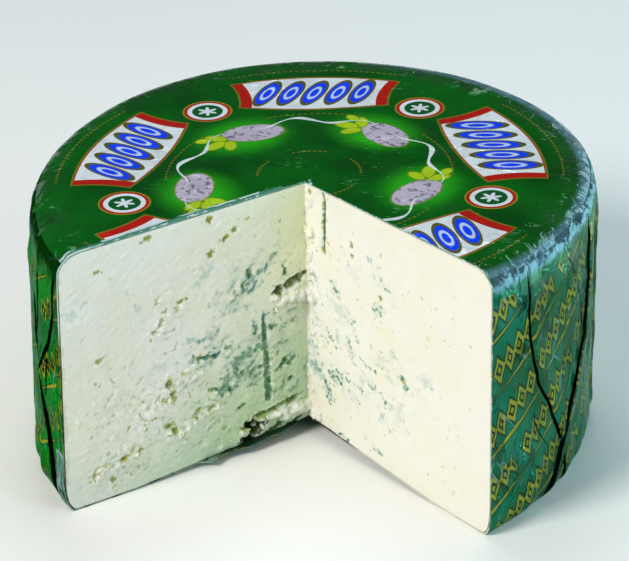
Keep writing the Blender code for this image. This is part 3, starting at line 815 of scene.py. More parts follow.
def draw_pits(grid, draw, count):
    """Small pits and pulled flakes all over the cuts, fewer out at the rind and on the right."""
    for _ in range(count):
        a, h = draw.uniform(-88, 84), draw.uniform(3, 92)
        if draw.random() < abs(a) / 200 + (0.45 if a > 0 else 0.0) + h / 300:
            continue
        lean = streak_lean(a) + draw.gauss(0, 0.4)
        size = draw.lognormvariate(-0.5, 0.4)
        depth = draw.uniform(0.10, 0.38)
        grid.stamp("proud", a, h, size * 1.6, size * 0.7, lean, -depth, rough=0.7)
        grid.stamp("proud", a + 0.7 * size, h - 0.8 * size, size * 2.0, size * 0.6, lean,
                   depth * 0.7, rough=0.6)
        if draw.random() < 0.5:
            grid.stamp("olive", a, h, size * 1.3, size * 0.75, lean, draw.uniform(0.2, 0.9), rough=0.8)
        if draw.random() < 0.12:
            grid.stamp("pore", a, h, size * 0.7, size * 0.4, lean, draw.uniform(0.2, 0.7), rough=0.7)
    for _ in range(count // 3):
        a, h = draw.uniform(-86, -10), draw.uniform(5, 42)
        lean = streak_lean(a) + draw.gauss(0, 0.6)
        size = draw.uniform(0.6, 1.6)
        grid.stamp("proud", a, h, size * 1.3, size * 0.4, lean, -draw.uniform(0.15, 0.5), rough=0.8)
        grid.stamp("proud", a + 0.4, h - 0.9 * size, size * 1.5, size * 0.5, lean,
                   draw.uniform(0.1, 0.4), rough=0.7)
        if draw.random() < 0.35:
            grid.stamp("olive", a, h, size * 1.2, size * 0.4, lean, draw.uniform(0.3, 1.0), rough=0.8)
    for _ in range(count // 3):
        a, h = draw.uniform(1, 80), draw.uniform(8, 86)
        if draw.random() > a / 110:
            grid.stamp("olive", a, h, draw.uniform(0.5, 1.5), draw.uniform(0.25, 0.45),
                       streak_lean(1) + draw.gauss(0, 0.2), draw.uniform(0.5, 1.0), rough=0.7)


def draw_ledges(grid, draw):
    """Ragged ledges where the curd broke instead of being cut, with an olive crevice above."""
    for chain, rise in CURD_LEDGES:
        for (a0, h0), (a1, h1) in zip(chain, chain[1:]):
            steps = max(2, round(math.hypot(a1 - a0, h1 - h0) / 0.9))
            for step in range(steps):
                part = (step + draw.uniform(-0.4, 0.4)) / steps
                a = a0 + (a1 - a0) * part + draw.gauss(0, 0.9)
                h = h0 + (h1 - h0) * part + draw.gauss(0, 0.8)
                lean = math.atan2(h1 - h0, a1 - a0) + draw.gauss(0, 0.4)
                size = draw.uniform(0.7, 2.2)
                grid.stamp("proud", a, h - 0.7, size * 1.8, size, lean,
                           rise * draw.uniform(0.1, 0.5), rough=0.9)
                if draw.random() < 0.7:
                    grid.stamp("proud", a, h + 0.4, size, 0.5, lean, -draw.uniform(0.3, 1.0), rough=0.9)
                    grid.stamp("olive", a, h + 0.4, size * 1.1, 0.7, lean, draw.uniform(0.1, 0.95), rough=0.9)


def draw_cracks(grid, draw):
    """Fine cracks, stained mustard, under the lifted lips of flakes."""
    for chain in CURD_CRACKS:
        for (a, h), lean in steps_along(chain, 0.7):
            a += draw.gauss(0, 0.15)
            h += draw.gauss(0, 0.15)
            size = draw.uniform(0.6, 1.0)
            grid.stamp("olive", a, h, size, size * 0.5, lean, draw.uniform(0.6, 1.0), rough=0.7)
            grid.stamp("proud", a, h, size, size * 0.5, lean, -draw.uniform(0.15, 0.4), rough=0.6)
            if draw.random() < 0.7:
                off = size * draw.choice((-1.0, 1.0, 1.0))
                grid.stamp("proud", a + off * math.sin(lean), h - off * math.cos(lean),
                           size * 1.6, size * 0.7, lean, draw.uniform(0.15, 0.5), rough=0.8)


def draw_holes(grid):
    """The open holes, with darker hearts the deeper they are as painted shade, and the torn foot of the left
    face, dark as painted shade.
    """
    for along, height, wide, tall, depth in CURD_HOLES:
        lean = streak_lean(along) * 0.5
        grid.stamp("proud", along, height, wide, tall, lean, -depth, rough=0.45, sharp=0.7)
        # Painted shade: deeper holes get darker hearts.
        deep = 0.5 + 0.5 * min(1.0, depth / 3)
        grid.stamp("pore", along - 0.3 * wide, height, wide * 0.45, tall * 0.6, lean, deep,
                   rough=0.7, sharp=0.5)
        grid.stamp("pore", along + 0.5 * wide, height, wide * 0.25, tall * 0.5, lean, 0.8 * deep, rough=0.9)
        grid.stamp("olive", along, height + 0.3, wide * 1.3, tall * 1.6, lean, 1.0, rough=0.6, sharp=0.5)
    # Painted shade: the torn foot's hollow is laid with the pore's dark colour.
    for along, height, wide, tall in TORN_FOOT:
        grid.stamp("pore", along, height, wide, tall, 0.4, 1.0, rough=0.5, sharp=0.3)


def draw_tracks(grid, draw):
    """The tracks that the needles left: mouldy with dark edges on the left, an olive slit on the right."""
    for foot, head, bottom, top, broad, depth in NEEDLE_TRACKS:
        # Here ripe is only how ripe the track's mould is: full on the left face, little on the right.
        ripe = 1.0 if foot < 0 else 0.1
        for height in np.arange(bottom, top, 0.7):
            share = (height - bottom) / (top - bottom)
            along = foot + (head - foot) * share
            wide = broad * (1.15 - 0.6 * share)
            grid.stamp("proud", along, height, wide * draw.uniform(0.9, 1.1), 1.4, 0.0,
                       -depth * 0.55, rough=0.2)
            grid.stamp("mould", along, height, wide * draw.uniform(0.9, 1.2), 1.3, 0.0,
                       ripe * (draw.uniform(0.5, 0.7) + 0.6 * abs(share - 0.45)), rough=0.4, sharp=0.6)
            grid.stamp("bloom", along, height, wide * 1.9, 1.6, 0.0, 0.9, rough=0.9)
            if foot > 0:
                grid.stamp("olive", along, height, wide * 1.1, 1.2, 0.0, 1.0, rough=0.5, sharp=0.3)
                grid.stamp("pore", along - 0.3 * wide, height, 0.55, 0.9, 0.0,
                           draw.uniform(0.6, 1.0), rough=0.4, sharp=0.5)
                continue
            for side, chance in ((-0.75, 0.85), (0.75, 0.55)):
                if draw.random() < chance:
                    edge = along + side * wide
                    grid.stamp("mould", edge, height, wide * 0.35, 1.1, 0.0, 1.0, rough=0.4)
                    grid.stamp("pore", edge, height, wide * 0.35, 0.9, 0.0, draw.uniform(0.2, 0.7), rough=0.3)


def drawn_cut(settings):
    """The unfolded cut faces with all their relief and growth; relief dies away at the rind."""
    draw = random.Random(settings.seed)
    grid = CutGrid(settings.relief_step)
    draw_crumb(grid)
    draw_growth(grid, draw, settings.growth)
    draw_leaves(grid, draw)
    draw_smears(grid, draw)
    draw_pit_rows(grid, draw)
    draw_pits(grid, draw, settings.pits)
    draw_ledges(grid, draw)
    draw_cracks(grid, draw)
    draw_holes(grid)
    draw_tracks(grid, draw)
    # Olive where the surface is sunken below its surroundings: the crevices' own stain, and painted shade in
    # the recesses.
    sunken = smoothed(grid.proud, 12) - grid.proud
    grid.olive = np.maximum(grid.olive, np.clip(sunken * 1.6 - 0.12, 0, 0.65))
    grid.proud = smoothed(grid.proud, 1)
    # How far the curd stands above its surroundings; the material lays it whiter as a painted highlight.
    grid.lip = np.clip((grid.proud - smoothed(grid.proud, 8)) * 2.4 - 0.12, 0, 1)
    top = WHEEL_HEIGHT / MM - 0.8
    rim = rim_reach(grid.along) / MM - 1.2 - np.abs(grid.along)
    edge = np.minimum(np.minimum(grid.height - 0.8, top - grid.height), rim)
    grid.proud *= np.clip(edge / 2.5, 0, 1)
    return grid


def cut_solid(grid):
    """The wedge that is taken out of the paste, with the cut faces' relief on it."""
    points = face_points(grid.along * MM, grid.height * MM, grid.proud * MM)
    rows, columns = grid.along.shape
    front = points.reshape(-1, 3)
    back = front - np.array((0.0, CUTTER_DEPTH, 0.0))
    index = np.arange(rows * columns).reshape(rows, columns)
    size = rows * columns
    a, b, c, d = index[:-1, :-1], index[:-1, 1:], index[1:, 1:], index[1:, :-1]
    quads = np.stack((a, b, c, d), axis=-1).reshape(-1, 4)
    faces = list(quads) + list(quads[:, ::-1] + size)
    rim = list(index[0, :]) + list(index[1:, -1]) + list(index[-1, -2::-1]) + list(index[-2:0:-1, 0])
    faces += [(first, second, second + size, first + size) for first, second in zip(rim, rim[1:] + rim[:1])]
    return new_object("cut", np.vstack((front, back)), faces)


def sample(grid, field, along, height):
    """Reads a field of the cut grid at these places, in mm."""
    rows, columns = grid.along.shape
    column = np.clip((along + grid.reach) / (2 * grid.reach) * (columns - 1), 0, columns - 1.001)
    row = np.clip((height - grid.bottom) / (grid.top - grid.bottom) * (rows - 1), 0, rows - 1.001)
    i, j = row.astype(int), column.astype(int)
    u, v = row - i, column - j
    return ((field[i, j] * (1 - v) + field[i, j + 1] * v) * (1 - u)
            + (field[i + 1, j] * (1 - v) + field[i + 1, j + 1] * v) * u)


def curd_chunk(along, height, wide, tall, proud, seed, detail):
    """A broken piece of curd, uneven and faceted, sunk into the cut so that it stands this far proud."""
    shape = bmesh.new()
    bmesh.ops.create_icosphere(shape, subdivisions=detail, radius=1.0)
    unit = np.array([corner.co[:] for corner in shape.verts])
    faces = [[corner.index for corner in face.verts] for face in shape.faces]
    shape.free()
    depth = max(wide, tall) * 0.9
    size = np.array((wide, depth, tall)) * MM
    place = unit * size
    grain = 0.0009 * max(wide, tall)
    rough = noise_at(place, 1.2 * grain, seed, octaves=3) * 0.40 - facets(place, grain, seed) * 0.34
    place = place * (1.12 + rough)[:, None]
    lean = streak_lean(along) * 0.5
    run, out = face_frames(np.array(along * MM))
    run = run * (1 if along > 0 else -1)
    across = np.array((run[0], run[1], 0.0))
    outward = np.array((out[0], out[1], 0.0))
    upward = np.array((0.0, 0.0, 1.0))
    centre = face_points(np.array(along * MM), np.array(height * MM), np.array((proud - depth) * MM))
    x = place[:, 0] * math.cos(lean) - place[:, 2] * math.sin(lean)
    z = place[:, 0] * math.sin(lean) + place[:, 2] * math.cos(lean)
    points = centre + x[:, None] * across + place[:, 1:2] * outward + z[:, None] * upward
    return new_object("chunk", points, faces)


def broken_curd(draw):
    """The lumps that stand in the corner and along its foot, each with smaller pieces round it."""
    chunks = []
    for along, height, wide, tall, proud in CURD_LUMPS:
        chunks.append(curd_chunk(along, height, wide, tall, proud, draw.uniform(0, 50), 4))
        for _ in range(CRUMBLED):
            share = draw.uniform(0.30, 0.55)
            a = along + draw.uniform(-1, 1) * wide * CRUMBLE_REACH
            h = height + draw.uniform(-1, 1) * tall * CRUMBLE_REACH
            chunks.append(curd_chunk(a, h, wide * share, tall * share, proud * draw.uniform(0.3, 1.0),
                                     draw.uniform(0, 50), 3))
    carve(chunks[0], *chunks[1:], operation="UNION")
    return chunks[0]


# ------------------ the foil's folds


def line_angle(line, height):
    """The angles of a leaning line at these heights, read along its points."""
    angles, levels = zip(*reversed(line))
    return np.interp(height, levels, angles)


def plain_tucks():
    """The nearly upright tucks round the back of the wheel."""
    draw = random.Random(TUCK_SEED)
    tucks = []
    for number in range(TUCK_COUNT):
        place = (number + draw.uniform(-TUCK_SCATTER, TUCK_SCATTER)) / (TUCK_COUNT - 1)
        middle = TUCK_FIRST + (TUCK_LAST - TUCK_FIRST) * place
        lean = draw.uniform(-TUCK_LEAN, TUCK_LEAN)
        tucks.append(((middle + lean, WHEEL_HEIGHT), (middle - lean, 0.0)))
    return tucks


def noise_at(points, size, seed, octaves=1, stretch=1.0):
    """Smooth noise of this size in metres at points; stretch draws it out upwards."""
    scaled = points / (size, size, size * stretch)
    if octaves > 1:
        values = [noise.fractal((x, y, z + seed), 0.9, 2.1, octaves) for x, y, z in scaled.tolist()]
    else:
        values = [noise.noise((x, y, z + seed)) for x, y, z in scaled.tolist()]
    return np.array(values)


def facets(points, size, seed, stretch=1.0):
    """Crumpled facets: how much nearer the nearest of scattered points is than the next."""
    scaled = points / (size, size, size * stretch)
    found = [noise.voronoi((x, y, z + seed))[0] for x, y, z in scaled.tolist()]
    return np.array([pair[1] - pair[0] for pair in found])


def fade(value, low, high):
    """A straight ramp from 0 to 1."""
    return np.clip((value - low) / (high - low), 0, 1)


class Folds:
    """The foil's folds at points of its smooth skin: rise in m, creases in mm, hidden print in mm."""

    def __init__(self, points, settled, settings):
        x, y, z = points.T
        radius = np.hypot(x, y)
        self.z, self.angle = z, np.degrees(np.arctan2(x, -y))
        wall = radius > WALL_RADIUS
        self.side = fade(WHEEL_HEIGHT - z, 0.004, 0.014) * fade(z, 0.0, 0.004) * wall
        self.wander = 0.8 * noise_at(points, 0.016, 3.0, octaves=2)
        self.crease = np.full(len(points), 8.0)
        self.width = np.zeros(len(points))
        self.hidden = np.zeros(len(points))
        self.rise = np.zeros(len(points))
        tucks = list(zip(LEANING_TUCKS, LEANING_WIDTHS)) + [(line, TUCK_WIDTHS) for line in plain_tucks()]
        for line, (top, bottom) in tucks:
            past = self.past(line)
            climb = fade(past, 0.0, TUCK_CLIMB) * fade(TUCK_FADE - past, 0.0, TUCK_FADE)
            self.rise = np.maximum(self.rise, settings.tuck_rise * climb * self.side)
            self.mark(line, top, bottom)
            opened = (self.angle % 360) + self.wander > line_angle(line, z) % 360
            self.hidden += np.where(opened, TUCK_HIDES, 0.0)
        for line, top, bottom in CREASES:
            self.mark(line, top, bottom)
        cut = np.abs(unfold(settled)[:, 2])
        calm = 0.22 + 0.78 * fade(cut, 0.0, 0.010)
        self.rise = (self.rise + self.crumple(points, wall)) * calm
        ripple = TOP_RIPPLE * (1 + noise_at(points, 0.030, 0.0)) + TOP_FACET * facets(points, 0.028, 2.0)
        self.rise = np.where(z > WHEEL_HEIGHT - TOP_BAND, ripple, self.rise)

    def past(self, line):
        """Degrees past a line, from 0 to 360."""
        return (self.angle + self.wander - line_angle(line, self.z)) % 360

    def mark(self, line, top, bottom):
        """Keeps the nearest crease, and how wide its dark line is, which dies away past its ends."""
        past = self.past(line)
        distance = ((past + 180) % 360 - 180) * math.radians(WHEEL_RADIUS / MM)
        high, low = line[0][1], line[-1][1]
        part = fade(self.z, low, high)
        width = bottom + (top - bottom) * part
        width *= fade(self.z, low - 0.004, low + 0.001) * fade(high + 0.004 - self.z, 0.0, 0.005)
        width *= self.side * (np.abs(distance) < CREASE_NEAR)
        nearer = (np.abs(distance) - 2 * width) < (np.abs(self.crease) - 2 * self.width)
        self.crease = np.where(nearer, distance, self.crease)
        self.width = np.where(nearer, width, self.width)

    def crumple(self, points, wall):
        """The small folds: facets on the side, finer gathers at shoulder and heel."""
        z = self.z
        shoulder = fade(0.011 - np.abs(z - (WHEEL_HEIGHT - 0.008)), 0.0, 0.009) * wall
        heel = fade(0.018 - z, 0.0, 0.018) * fade(z, 0.0, 0.002) * wall
        facet = facets(points, 0.013, 1.0, stretch=1.7)
        fine = facets(points, 0.0045, 4.0, stretch=1.5)
        soft = noise_at(points, 0.020, 5.0, octaves=2)
        ridge = fade(1 - np.abs(noise_at(points, 0.011, 6.0, octaves=2, stretch=2.2)) * 3.0, 0.0, 1.0)
        crinkled = fade(noise_at(points, 0.030, 9.0) * 2.4 + 0.35, 0.0, 1.0)
        gather = np.abs(np.sin(np.radians(GATHER_COUNT / 2 * self.angle) + 2.2 * soft))
        side = self.side * (SIDE_FACET * facet + SIDE_RIDGE * ridge + SIDE_SOFT * np.abs(soft)
                            + crinkled * SIDE_CRINKLE * fine)
        heel *= HEEL_GATHER * (1 - gather) + HEEL_FACET * facet
        return side + (shoulder * (SHOULDER_FACET * facet + SHOULDER_FINE * fine) + heel)


def lifted_edge(points, settled):
    """How far the foil curls up at the cut along the left of the notch, on the top."""
    place = unfold(settled)
    near = fade(CURL_REACH - np.abs(place[:, 2]), 0.0, CURL_REACH) * (place[:, 0] < -0.006)
    top = points[:, 2] > WHEEL_HEIGHT - TOP_BAND
    wave = 0.55 + 0.6 * noise_at(settled, 0.009, 7.0, octaves=2)
    return np.where(top, near * np.maximum(wave, 0.1) * CURL_RISE, 0.0)


def foil_skin(name, profile, angles, inset, settings):
    """A closed skin of the wheel with the foil's folds: the outer one, or the inner one that hollows it.

    The inner one follows the folds only near the cuts, where the foil's edge shows."""
    points, faces = turned_shape(profile, angles)
    settled = settle(points)
    folds = Folds(points, settled, settings)
    radius = np.maximum(np.hypot(points[:, 0], points[:, 1]), 1e-9)
    slope = np.clip((points[:, 2] - (WHEEL_HEIGHT - SHOULDER_DROP)) / SHOULDER_DROP, 0, 1)
    outward = np.column_stack((points[:, 0] / radius, points[:, 1] / radius, slope))
    outward[points[:, 2] > WHEEL_HEIGHT - TOP_BAND] = (0, 0, 1)
    outward /= np.maximum(np.linalg.norm(outward, axis=1, keepdims=True), 1e-9)
    rise = folds.rise
    if inset:
        rise = rise * fade(EDGE_REACH - np.abs(unfold(settled)[:, 2]), 0.0, EDGE_FADE)
    else:
        rise = rise + lifted_edge(points, settled)
    rise = np.where(points[:, 2] < inset + 1e-6, 0.0, rise)
    obj = new_object(name, settled + outward * rise[:, None], faces)
    for field in ("crease", "width", "hidden"):
        values = obj.data.attributes.new(field, "FLOAT", "POINT")
        values.data.foreach_set("value", getattr(folds, field).astype(np.float32))
    return obj


def foil_shell(settings):
    """The foil round the whole wheel, as a closed outer skin less a thinner, coarser inner one."""
    profile = wheel_profile(0.0, side_rings=settings.side_rings, **OUTSIDE_RINGS)
    foil = foil_skin("wrapper", profile, even_turn(settings.columns), 0.0, settings)
    near = [np.linspace(angle - EDGE_ANGLE, angle + EDGE_ANGLE, EDGE_STEPS)
            for angle in (LEFT_ANGLE, RIGHT_ANGLE)]
    angles = np.unique(np.round(np.concatenate([even_turn(INSIDE_STEPS)] + near) % math.tau, 3))
    profile = wheel_profile(settings.thickness, side_rings=settings.side_rings, **INSIDE_RINGS)
    carve(foil, foil_skin("foil_inside", profile, angles, settings.thickness, settings))
    return foil


def notch_prism(name, torn, bottom, top):
    """The notch in plan carried up between two levels, torn along the base on the left."""
    reach = 2 * FACE_REACH
    along, proud = [reach, 0.0], [0.0, 0.0]
    if torn:
        draw = random.Random(LIP_SEED)
        for tooth in range(LIP_TEETH + 1):
            part = tooth / LIP_TEETH
            along.append(-(LIP_START + (LIP_END - LIP_START) * part))
            proud.append(0.0 if tooth in (0, LIP_TEETH) else LIP_REACH * draw.uniform(LIP_SHORTEST, 1.0))
    along.append(-reach)
    proud.append(0.0)
    low = face_points(np.array(along), np.full(len(along), bottom), np.array(proud))
    high = low + np.array((0.0, 0.0, top - bottom))
    count = len(low)
    ring = range(count)
    faces = [tuple(ring), tuple(count + i for i in ring)]
    faces += [(i, (i + 1) % count, count + (i + 1) % count, count + i) for i in ring]
    return new_object(name, np.vstack((low, high)), faces)


def keep_number(mesh, name, values):
    """Keeps a number for each point of a mesh."""
    mesh.attributes.new(name, "FLOAT", "POINT").data.foreach_set("value", np.asarray(values, np.float32))


def corner_extremes(mesh, values, kind=np.minimum):
    """For each face, the least or greatest of its corners' values, and every corner's point."""
    corners = np.empty(len(mesh.loops), np.int32)
    mesh.loops.foreach_get("vertex_index", corners)
    starts = np.empty(len(mesh.polygons), np.int32)
    mesh.polygons.foreach_get("loop_start", starts)
    return kind.reduceat(values[corners], starts), corners


def dress_foil(foil, settings):
    """Gives each face its finish, and the side its wrap in metres round and up."""
    mesh = foil.data
    mesh.materials.clear()
    for material in (top_material(settings), side_material(settings), bare_material(settings)):
        mesh.materials.append(material)
    points = mesh_points(mesh)
    local = points - AXIS
    angle = np.arctan2(local[:, 0], -local[:, 1]) % math.tau
    low = 1 - local[:, 2] / WHEEL_HEIGHT
    height = local[:, 2] - (1 - low) ** 2 * TOP_SLOPE * local[:, 0]
    place = unfold(points)
    off_cut = np.abs(place[:, 2])
    keep_number(mesh, "off_cut", off_cut / MM)
    keep_number(mesh, "along", place[:, 0] / MM)
    farthest, corners = corner_extremes(mesh, off_cut, np.maximum)
    lowest, _ = corner_extremes(mesh, height)
    count = len(mesh.polygons)
    centre, normal = np.empty(count * 3, np.float32), np.empty(count * 3, np.float32)
    mesh.polygons.foreach_get("center", centre)
    mesh.polygons.foreach_get("normal", normal)
    centre, normal = centre.reshape(-1, 3) - AXIS, normal.reshape(-1, 3)
    facing = np.sum(centre[:, :2] * normal[:, :2], axis=1)
    reach = np.hypot(centre[:, 0], centre[:, 1])
    within = (facing < 0) & (np.abs(normal[:, 2]) < 0.6) & (reach > 0.05)
    within |= (normal[:, 2] < -0.3) & (centre[:, 2] > 0.05) & (facing < 0.02)
    within |= (normal[:, 2] > 0.3) & (centre[:, 2] < 0.02) & (facing < 0.02)
    bare = (farthest < 0.0002) | within
    kinds = np.where(bare, 2, np.where(lowest > WHEEL_HEIGHT - SHOULDER_DROP * 0.5, 0, 1))
    mesh.polygons.foreach_set("material_index", kinds.astype(np.int32))
    wrap = mesh.uv_layers.new(name="wrap")
    uv = np.column_stack((angle[corners] * WHEEL_RADIUS, height[corners])).astype(np.float32)
    wrap.data.foreach_set("uv", uv.ravel())
    mesh.shade_smooth()
    mesh.set_sharp_from_angle(angle=math.radians(50))


# ------------------ crumbs


def crumb_tree():
    """Geometry Nodes that scatter loose crumbs over a patch of curd."""
    tree = bpy.data.node_groups.new("scattered_crumbs", "GeometryNodeTree")
    tree.interface.new_socket("Patch", in_out="INPUT", socket_type="NodeSocketGeometry")
    for name, kind in (("Crumbs per square metre", "Float"), ("Crumb radius", "Float"),
                       ("Seed", "Int"), ("Material", "Material")):
        tree.interface.new_socket(name, in_out="INPUT", socket_type="NodeSocket" + kind)
    tree.interface.new_socket("Crumbs", in_out="OUTPUT", socket_type="NodeSocketGeometry")
    given = tree.nodes.new("NodeGroupInput").outputs
    result = tree.nodes.new("NodeGroupOutput").inputs[0]
    spread_out = {"Mesh": given["Patch"], "Density": given["Crumbs per square metre"], "Seed": given["Seed"]}
    points = node(tree, "GeometryNodeDistributePointsOnFaces", spread_out)
    crumb = node(tree, "GeometryNodeMeshIcoSphere", {"Radius": given["Crumb radius"], "Subdivisions": 1})
    turn = node(tree, "FunctionNodeRandomValue", {"Max": (6.28, 6.28, 6.28), "Seed": given["Seed"]},
                data_type="FLOAT_VECTOR")
    size = node(tree, "FunctionNodeRandomValue",
                {"Min": (0.35, 0.3, 0.2), "Max": (1.4, 1.0, 0.7), "Seed": given["Seed"]},
                data_type="FLOAT_VECTOR")
    placed = node(tree, "GeometryNodeInstanceOnPoints",
                  {"Points": points, "Instance": crumb, "Rotation": turn, "Scale": size})
    real = node(tree, "GeometryNodeRealizeInstances", {"Geometry": placed})
    painted = node(tree, "GeometryNodeSetMaterial", {"Geometry": real, "Material": given["Material"]})
    tree.links.new(painted, result)
    return tree


def set_inputs(modifier, tree, **values):
    """Sets a Geometry Nodes modifier's inputs by their sockets' names, with _ for a space."""
    for item in tree.interface.items_tree:
        name = item.name.replace(" ", "_")
        if item.in_out == "INPUT" and name in values:
            modifier[item.identifier] = values[name]


def crumbs_at(a, h):
    """Where fine crumbs lie, by along and height in mm: the crumbly low left, and the corner."""
    crumbly = (a > -88) & (a < -48) & (h > 3) & (h < 46 + (a + 48) * 0.4)
    crumbly |= (a > -30) & (a < 6) & (h > 6.5) & (h < 14)
    return crumbly | (a > -14) & (a < 4) & (h > 49) & (h < 57)


def lumps_at(a, h):
    """Where broken lumps of curd cling: the ledges under the two hollows, and the corner's edge."""
    ledges = (a > -12.5) & (a < 1) & (h > 49.5) & (h < 55 + a * 0.1)
    ledges |= (a > -22) & (a < 2) & (h > 6) & (h < 12)
    return ledges | (a > 0.3) & (a < 2.6) & (h > 14) & (h < 70)


def curd_patch(grid, name, where):
    """The parts of the cut faces that loose curd lies on."""
    rows = slice(None, None, PATCH_STEP)
    along, height, proud = grid.along[rows, rows], grid.height[rows, rows], grid.proud[rows, rows]
    points = face_points(along * MM, height * MM, proud * MM).reshape(-1, 3)
    shape = along.shape
    index = np.arange(shape[0] * shape[1]).reshape(shape)
    quads = np.stack((index[:-1, :-1], index[:-1, 1:], index[1:, 1:], index[1:, :-1]), axis=-1)
    a, h = along[:-1, :-1], height[:-1, :-1]
    return new_object(name, points, quads[where(a, h)])


# ------------------ materials


def new_material(name):
    """An empty node material and its Principled shader, joined to the output."""
    material = bpy.data.materials.new(name)
    material.use_nodes = True
    tree = material.node_tree
    return material, tree, tree.nodes["Principled BSDF"]


def set_shader(tree, shader, **values):
    """Sets the shader's sockets by name, with _ for a space, to numbers, colours or links."""
    for name, value in values.items():
        socket = shader.inputs[name.replace("_", " ")]
        if isinstance(value, bpy.types.NodeSocket):
            tree.links.new(value, socket)
        else:
            socket.default_value = value


def fineness(size):
    """The scale of a texture whose grains have this size in mm."""
    return 1 / (size * MM)


def ink(tree, under, code, distance, soft=0.12):
    """Lays an ink wherever a distance in mm is above zero."""
    return node(tree, "lay", (node(tree, "step", (distance, -soft, soft)), under, linear(code)))


def paste_material(colours):
    """Blue cheese curd: moist, crumbly milk fat and protein, so light bleeds a few mm into it.

    Mould is blue-green with a grey bloom round it, and old pores have an olive rim."""
    material, tree, shader = new_material("curd_of_blue_cheese")
    place = node(tree, "place")
    growth = node(tree, "ShaderNodeAttribute", attribute_name="growth")
    bloom, olive, pore = node(tree, "ShaderNodeSeparateColor", (growth,), ALL)
    x, _, high = node(tree, "ShaderNodeSeparateXYZ", (place,), ALL)
    mould = node(tree, "kept", ("mould",))
    mottle = node(tree, "grains", (place, fineness(22.0), 3.0, 0.6))
    patch = node(tree, "grains", (place, fineness(5.0), 3.0, 0.6))
    speck = node(tree, "grains", (place, fineness(1.3), 4.0, 0.7))
    thread = node(tree, "grains", (place, fineness(0.6), 2.0, 0.6))
    base = node(tree, "lay", (node(tree, "step", (mottle, 0.40, 0.66)), colours.curd, colours.curd_warm))
    # Painted shade: a yellow-green tint on the left face near the notch's corner, partly riper curd and
    # partly painted shade, brighter above 5 cm.
    ripe = node(tree, "kept", ("ripe",))
    tint = formula(tree, "min(ripe * (0.55 + patch * 0.5), 1)", ripe=ripe, patch=patch)
    ripe_and_shade_colour = node(tree, "lay", (node(tree, "step", (high, 0.045, 0.062)), colours.ripe, linear("#e0f098")))
    base = node(tree, "lay", (tint, base, ripe_and_shade_colour))
    rind = formula(tree, "step(kept('rind') * (0.4 + (patch - 0.42) * 5), 0.45, 1.1)", patch=patch)
    base = node(tree, "lay", (formula(tree, "r * 0.25", r=rind), base, colours.rind))
    cloud = formula(tree, "step(b + (s - 0.5) * 0.5, 0.10, 0.95)", b=bloom, s=speck)
    base = node(tree, "lay", (formula(tree, "c * 0.6", c=cloud), base, colours.bloom))
    # Painted highlight: curd standing above its surroundings is laid whiter.
    painted_lip_highlight = node(tree, "step", (node(tree, "kept", ("lip",)), 0.05, 0.8))
    base = node(tree, "lay", (formula(tree, "d * 0.6", d=painted_lip_highlight), base, linear("#fbfbf2")))
    rim = formula(tree, "step(o + (t - 0.5) * 0.8, 0.25, 1.0)", o=olive, t=thread)
    yellow = formula(tree, "step(p, 0.42, 0.58) * max(1 - ripe * 2, 0)", p=patch, ripe=ripe)
    stain = node(tree, "lay", (yellow, colours.olive, colours.mustard))
    base = node(tree, "lay", (formula(tree, "r * 0.92", r=rim), base, stain))
    vein = formula(tree, "step(m + (s - 0.5) * 0.6 + (t - 0.5) * 0.35, 0.18, 0.90)",
                   m=mould, s=speck, t=thread)
    # Mould is greener where that tint of riper curd and painted shade lies.
    green = formula(tree, "min(ripe * 1.2 + 0.1, 1)", ripe=ripe)
    fresh = node(tree, "lay", (green, colours.mould, colours.mould_ripe))
    base = node(tree, "lay", (formula(tree, "v * 0.92", v=vein), base, fresh))
    dense = formula(tree, "step(m + (t - 0.5) * 1.6 + (s - 0.5), 0.85, 1.35)",
                    m=mould, s=speck, t=thread)
    old = node(tree, "lay", (green, linear("#2a6258"), colours.mould_dark))
    base = node(tree, "lay", (formula(tree, "d * 0.8", d=dense), base, old))
    heart = formula(tree, "step(p + (s - 0.5) * 0.7, 0.35, 1.0)", p=pore, s=speck)
    base = node(tree, "lay", (formula(tree, "h * 0.88", h=heart), base, colours.pore))
    grain = node(tree, "grains", (place, fineness(0.9), 5.0, 0.75))
    knife = (formula(tree, "kept('streak') * 0.17"), node(tree, "kept", ("across",)))
    knife = node(tree, "ShaderNodeCombineXYZ", knife)
    drag = node(tree, "ShaderNodeTexNoise", {"Vector": knife, "Scale": 0.75, "Detail": 3.0})
    height = formula(tree, "g * 0.8 + d * (0.4 + step(x, 0.001, -0.001) * 1.5) * max(p * 4 - 1.3, 0)",
                     g=grain, d=drag, x=x, p=patch)
    bump = node(tree, "ShaderNodeBump", {"Strength": 0.6, "Distance": 0.0005, "Height": height})
    rough = formula(tree, "0.46 + (m - 0.5) * 0.3 + v * 0.2", m=mottle, v=vein)
    shine = formula(tree, "0.35 - 0.32 * max(h, v, r)", h=heart, v=vein, r=rim)
    set_shader(tree, shader, Base_Color=base, Roughness=rough, Normal=bump, Specular_IOR_Level=shine,
               Subsurface_Weight=0.18, Subsurface_Radius=(1.0, 0.85, 0.6), Subsurface_Scale=0.0018)
    return material


def crumpled(tree, place, size, slope):
    """Height in metres of flat facets of this size in mm, each leaning its own way by this slope."""
    cells = node(tree, "ShaderNodeTexVoronoi", {"Vector": place, "Scale": fineness(size)}, ALL)
    away = node(tree, "ShaderNodeVectorMath", (place, cells[2]), operation="SUBTRACT")
    lean = node(tree, "ShaderNodeVectorMath", (cells[1], (0.5, 0.5, 0.5)), operation="SUBTRACT")
    height = node(tree, "ShaderNodeVectorMath", (away, lean), out=1, operation="DOT_PRODUCT")
    return formula(tree, "h * s", h=height, s=slope * 2.0)


